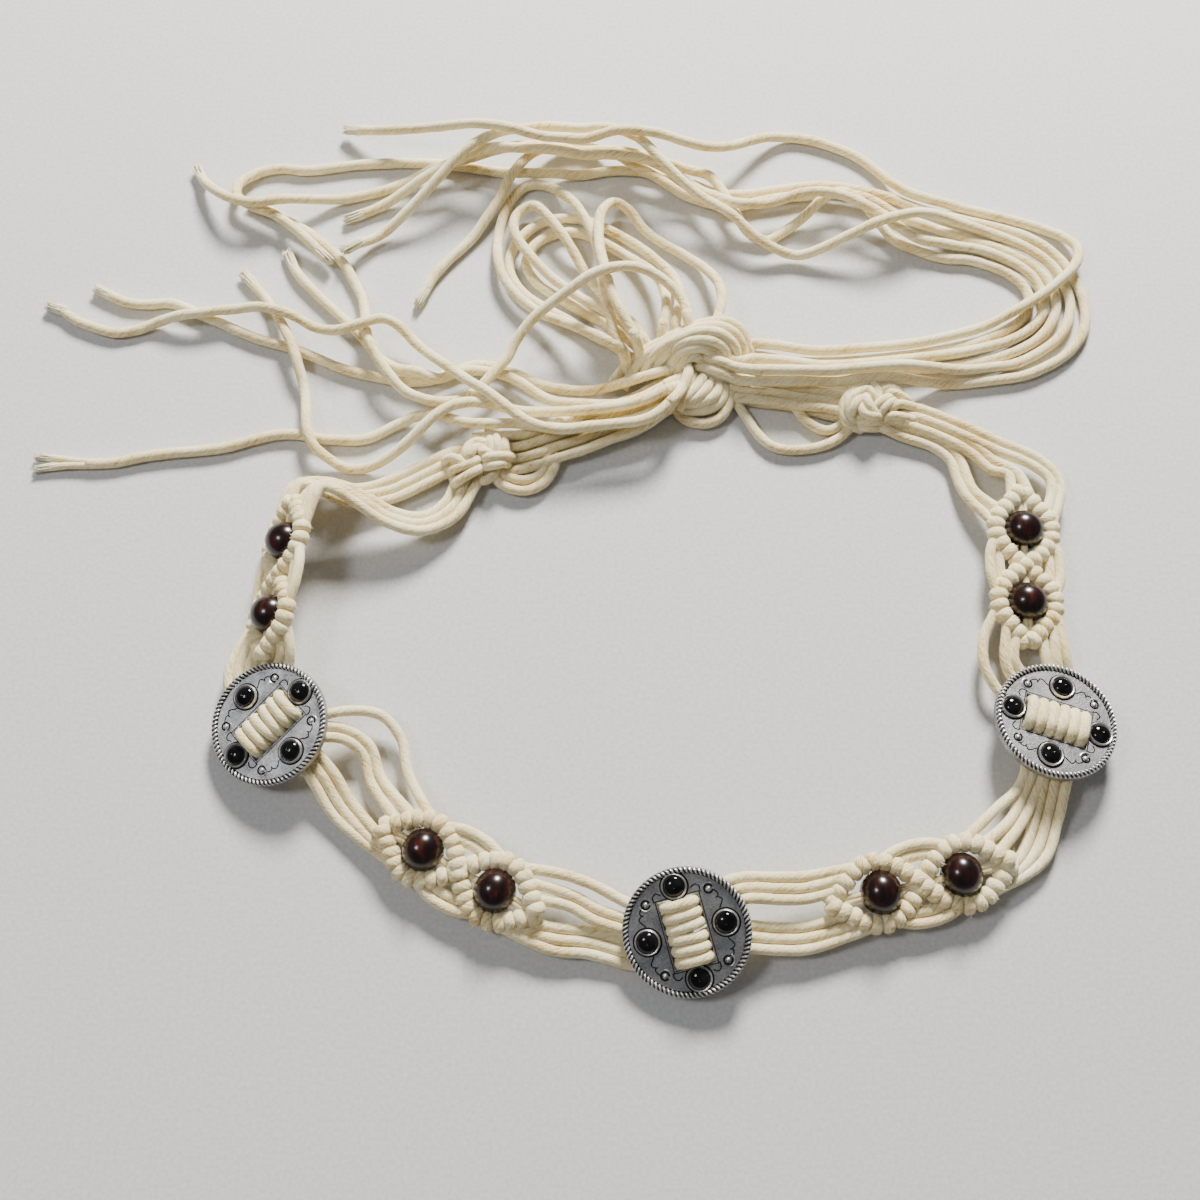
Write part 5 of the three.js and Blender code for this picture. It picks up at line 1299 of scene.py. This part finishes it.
def make_band_end(row):
    """The strands from an end pair, the square knot that they run into, and its tails."""
    spot = pair_spots[row["pair"]]
    shell = Shell()
    for strands, route in row["bunches"]:
        stations = [(vec(x, y, z) + SHIFT, sum(roll)) for x, y, z, *roll in route]
        for strand in strands:
            hitched = hitch_place(spot, row["end"], strand)
            points = bunch_points(stations, strands, strand, hitched, spot.across)
            soft_cord(shell, spline([hitched] + points, RING_STEP))
    for turn in SQUARE_KNOTS[row["name"]]:
        if "cords" in turn:
            bundle(shell, turn)
    for points in KNOT_CORDS[row["name"]]:
        knot_cord(shell, points)
    shell.finish(f"knot_{row['name']}", COTTON, f"square_knot_{row['name']}")


def make_tie_knot():
    """The bow knot: its own turns, and each loose cord's way from its end into the knot."""
    shell = Shell()
    for points in KNOT_CORDS["tie"]:
        knot_cord(shell, points, CORD_RADIUS)
    for leads, ends in ((KNOT_LEADS, slice(0, 3)), (KNOT_RETURNS, slice(-1, -4, -1))):
        for name, points in leads.items():
            inside = np.array(points[::-1]) / MM_PER_METRE + SHIFT
            outside = cord_paths[name][ends]
            soft_cord(shell, spline(np.vstack([inside, outside[[0, 2]]]), RING_STEP), CORD_RADIUS)
    shell.finish("knot_of_ties", COTTON, "tie_knot")


# Conchos. Heights on a plate are from its middle.
FACE_HEIGHT = PLATE_THICKNESS / 2
PLATE_BEVEL = 0.0002
ROPE_TURNS = 840
ROPE_LOBES = 84
ROPE_SIDES = 10
ROPE_RADIUS = 0.00095
ROPE_IN = 0.00105
ROPE_SWELL = 0.2
GROOVE_IN = 0.0022
GROOVE_WIDTH = 0.0006
SLOT_MARGIN = 0.0004
LINE_STEP = 0.0003
FINE_LINE = 0.0002
LINE = 0.00024
BOLD_LINE = 0.00034

# The ornament of one quarter of a face: a ball in a curled line with a tail, a crescent, a
# hook and a notch. Points are along and across, the tail's from the ball.
BALL_ALONG = 0.0109
BALL_ACROSS = 0.0121
BALL_RADIUS = 0.00082
BALL_RISE = 0.00062
CURL_RADIUS = 0.0014
CURL_TAIL = [(0.0022, -0.0014), (0.0026, -0.0028), (0.0016, -0.0034)]
CRESCENT_RADIUS = 0.0021
HOOK = [(0.0080, 0.0119), (0.0080, 0.0138), (0.0068, 0.0147), (0.0052, 0.0139)]
NOTCH = [(0.0128, 0.0050), (0.0144, 0.0078), (0.0132, 0.0088)]


def plate_mesh(name):
    """A flat disc with two slots, cut from a filled curve and given soft edges."""
    data = bpy.data.curves.new(name, "CURVE")
    data.dimensions = "2D"
    data.fill_mode = "BOTH"
    data.extrude = FACE_HEIGHT - PLATE_BEVEL
    data.bevel_depth = PLATE_BEVEL
    data.bevel_resolution = 1
    turns = np.linspace(0, 2 * math.pi, 96, endpoint=False)
    rim = CONCHO_RADIUS - 0.0003
    outlines = [[(rim * math.cos(t), rim * math.sin(t)) for t in turns]]
    half = SLOT_HALF_WIDTH + 0.0001
    for side in (-1, 1):
        near, far = side * SLOT_INNER, side * SLOT_OUTER
        outlines.append([(near, -half), (far, -half), (far, half), (near, half)])
    for outline in outlines:
        line = data.splines.new("POLY")
        line.points.add(len(outline) - 1)
        for place, (x, y) in zip(line.points, outline):
            place.co = (x, y, 0, 1)
        line.use_cyclic_u = True
    piece = bpy.data.objects.new(name, data)
    bpy.context.collection.objects.link(piece)
    graph = bpy.context.evaluated_depsgraph_get()
    mesh = bpy.data.meshes.new_from_object(piece.evaluated_get(graph))
    bpy.data.objects.remove(piece)
    return mesh


def add_mesh(shell, mesh, spot):
    points = spot.place_all([tuple(vertex.co) for vertex in mesh.vertices])
    faces = [tuple(polygon.vertices) for polygon in mesh.polygons]
    uvs = [(0.0, 0.0)] * sum(len(face) for face in faces)
    shell.add(points, faces, uvs, FACE)


def rope_rim(shell, spot):
    """The twisted edge of a concho: a ring whose section has two lobes that turn, dark
    between them."""
    middle = CONCHO_RADIUS - ROPE_IN
    grid = np.empty((ROPE_TURNS, ROPE_SIDES, 3))
    tones = np.empty((ROPE_TURNS, ROPE_SIDES))
    for index in range(ROPE_TURNS):
        round_plate = index / ROPE_TURNS * 2 * math.pi
        radial = spot.along * math.cos(round_plate) + spot.across * math.sin(round_plate)
        centre = spot.origin + radial * middle + spot.out * (FACE_HEIGHT + 0.0001)
        for side in range(ROPE_SIDES):
            angle = side / ROPE_SIDES * 2 * math.pi
            crest = math.cos(2 * angle + ROPE_LOBES * round_plate)
            reach = ROPE_RADIUS * (1 + ROPE_SWELL * crest)
            grid[index, side] = (centre + radial * reach * math.cos(angle)
                                 + spot.out * reach * math.sin(angle))
            tones[index, side] = 0.5 + 0.5 * crest
    shell.ring(grid, tone=tones.ravel())


def turned(shell, spot, along, across, profile, tone):
    """A shape turned about an axis that stands on the concho's face."""
    turns = np.linspace(0, 2 * math.pi, 36, endpoint=False)
    grid = np.array([[spot.place(along + r * math.cos(t), across + r * math.sin(t), z)
                      for t in turns] for r, z in profile])
    shell.ring(grid, tone=tone)


def on_face(*profile):
    """A profile whose heights are from the face."""
    return [(radius, FACE_HEIGHT + height) for radius, height in profile]


def bezel(shell, spot, along, across):
    """A thin raised wall round a stone, in a dark groove."""
    inner = STONE_RADIUS + 0.00005
    groove = on_face((inner + 0.0005, -0.0003), (inner + 0.0014, -0.0003),
                     (inner + 0.0013, 0.0001), (inner + 0.0005, 0.00012))
    wall = on_face((inner, -0.0003), (inner + 0.0008, -0.0003), (inner + 0.00075, 0.0007),
                   (inner + 0.0004, 0.00115), (inner + 0.0001, 0.001))
    turned(shell, spot, along, across, groove, CUP_GROOVE)
    turned(shell, spot, along, across, wall, RUBBED)


def engraved(shell, spot, points, radius=LINE, tone=HOLLOW):
    """A thin line on the face: dark where it is cut, bright where it stands up."""
    height = FACE_HEIGHT + (0.0001 if tone > FACE else -0.00008)
    line = [(along, across, height) for along, across in points]
    shell.tube(spline(spot.place_all(line), LINE_STEP), radius, sides=6, tone=tone)


def arc(along, across, radius, start, sweep, count):
    return [(along + radius * math.cos(t), across + radius * math.sin(t))
            for t in np.linspace(start, start + sweep, count)]


def curl(shell, spot, x, y):
    """The ornament of the quarter on side x along and side y across."""
    along, across = x * BALL_ALONG, y * BALL_ACROSS
    curled = arc(along, across, CURL_RADIUS, 0.3 * x, x * y * 5.6, 15)
    engraved(shell, spot, curled, BOLD_LINE)
    tail = [(along + x * forth, across + y * aside) for forth, aside in CURL_TAIL]
    engraved(shell, spot, [curled[-1]] + tail)
    dome = [(BALL_RADIUS * math.cos(a), BALL_RISE * math.sin(a))
            for a in np.linspace(0.1, math.pi / 2 - 0.05, 6)]
    ball = on_face((0.00002, -0.0002), (BALL_RADIUS, -0.0002), *dome)
    turned(shell, spot, along, across, ball, POLISHED)
    engraved(shell, spot, arc(along, across, CRESCENT_RADIUS, 0.8 * x, x * y * 2.2, 8),
             FINE_LINE, RAISED)
    for shape in (HOOK, NOTCH):
        engraved(shell, spot, [(x * forth, y * aside) for forth, aside in shape])


def make_concho(row):
    """A cast plate with its rope edge, cups, ornament and slots, and its four stones."""
    spot = concho_spots[row["name"]]
    shell = Shell()
    add_mesh(shell, plate_mesh(f"plate_{row['name']}"), spot)
    rope_rim(shell, spot)
    seats = [(-STONE_ALONG, 0), (STONE_ALONG, 0), (0, -STONE_ACROSS), (0, STONE_ACROSS)]
    for along, across in seats:
        bezel(shell, spot, along, across)
    for x, y in [(1, 1), (-1, 1), (-1, -1), (1, -1)]:
        curl(shell, spot, x, y)
    wide, long = SLOT_OUTER + SLOT_MARGIN, SLOT_HALF_WIDTH + SLOT_MARGIN
    corners = [(-wide, -long), (-wide, 0), (-wide, long), (0, long), (wide, long), (wide, 0),
               (wide, -long), (0, -long), (-wide, -long)]
    for start, end in zip(corners, corners[1:]):
        engraved(shell, spot, [start, end], FINE_LINE)
    inner = CONCHO_RADIUS - GROOVE_IN
    outer = inner + GROOVE_WIDTH
    groove = on_face((inner, -0.0002), (outer, -0.0002), (outer, 0.00013), (inner, 0.00006))
    turned(shell, spot, 0, 0, groove, EDGE_GROOVE)
    piece = shell.finish(f"metal_{row['name']}", SILVER, f"concho_{row['name']}")
    shade_by_angle(piece)
    for number, (along, across) in enumerate(seats, 1):
        make_stone(spot, along, across, f"{row['name']}_{number}")


def shade_by_angle(piece):
    with bpy.context.temp_override(object=piece, active_object=piece, selected_objects=[piece],
                                   selected_editable_objects=[piece]):
        bpy.ops.object.shade_smooth_by_angle(angle=math.radians(40))


def make_stone(spot, along, across, name):
    """A polished dome with a low straight wall."""
    floor = FACE_HEIGHT + SEAT_GAP
    profile = [(0.0001, floor), (STONE_RADIUS * 0.98, floor)]
    base, dome = floor + STONE_WALL, STONE_RISE - STONE_WALL
    profile += [(STONE_RADIUS * math.cos(a), base + dome * math.sin(a))
                for a in np.linspace(0, math.pi / 2 - 0.03, 10)]
    shell = Shell()
    turned(shell, spot, along, across, profile, MID_TONE)
    shell.finish(f"gem_{name}", STONE, f"stone_{name}")


for pair_row in PAIRS:
    make_pair(pair_row)
for concho_row in CONCHOS:
    make_concho(concho_row)
    make_strands(concho_row["name"])
for end_row in BAND_ENDS:
    make_band_end(end_row)
make_tie_knot()


# The studio.
FLOOR_REACH = 15.0
FLOOR_DROP = 0.0002
LIGHTS = [
    {"name": "key", "place": (0.24, 1.3, 0.86), "size": 0.42, "power": 83.0,
     "colour": (1.0, 0.965, 0.91)},
    {"name": "side", "place": (-0.84, 0.0, 1.24), "size": 0.36, "power": 7.0,
     "colour": (0.97, 0.98, 1.0)},
]
ROOM_COLOUR = (0.94, 0.96, 1.0, 1)
ROOM_STRENGTH = 0.17


def make_floor():
    """A plain pale floor, with the faintest grain."""
    nodes = Nodes("floor")
    grain = nodes.noise(nodes.place(), scale=700.0, detail=4.0)
    colour = nodes.ramp(grain, [(0.3, (0.55, 0.547, 0.54)), (0.7, (0.66, 0.656, 0.645))])
    normal = nodes.bump(grain, strength=0.15, distance=0.0003)
    nodes.set(Base_Color=colour, Roughness=0.85, Normal=normal)
    mesh = bpy.data.meshes.new("floor")
    corners = [(x * FLOOR_REACH, y * FLOOR_REACH, 0) for x, y in ((-1, -1), (1, -1), (1, 1), (-1, 1))]
    mesh.from_pydata(corners, [], [(0, 1, 2, 3)])
    mesh.materials.append(nodes.material)
    floor = bpy.data.objects.new("floor", mesh)
    floor.location.z = -FLOOR_DROP
    bpy.context.collection.objects.link(floor)


def area_light(row):
    data = bpy.data.lights.new(row["name"], "AREA")
    data.shape = "DISK"
    data.size = row["size"]
    data.energy = row["power"]
    data.color = row["colour"]
    light = bpy.data.objects.new(row["name"], data)
    light.location = row["place"]
    light.rotation_euler = (-Vector(row["place"])).to_track_quat("-Z", "Y").to_euler()
    bpy.context.collection.objects.link(light)


def make_room():
    world = bpy.data.worlds.new("studio")
    world.use_nodes = True
    background = world.node_tree.nodes["Background"]
    background.inputs["Color"].default_value = ROOM_COLOUR
    background.inputs["Strength"].default_value = ROOM_STRENGTH
    bpy.context.scene.world = world


make_floor()
for light_row in LIGHTS:
    area_light(light_row)
make_room()
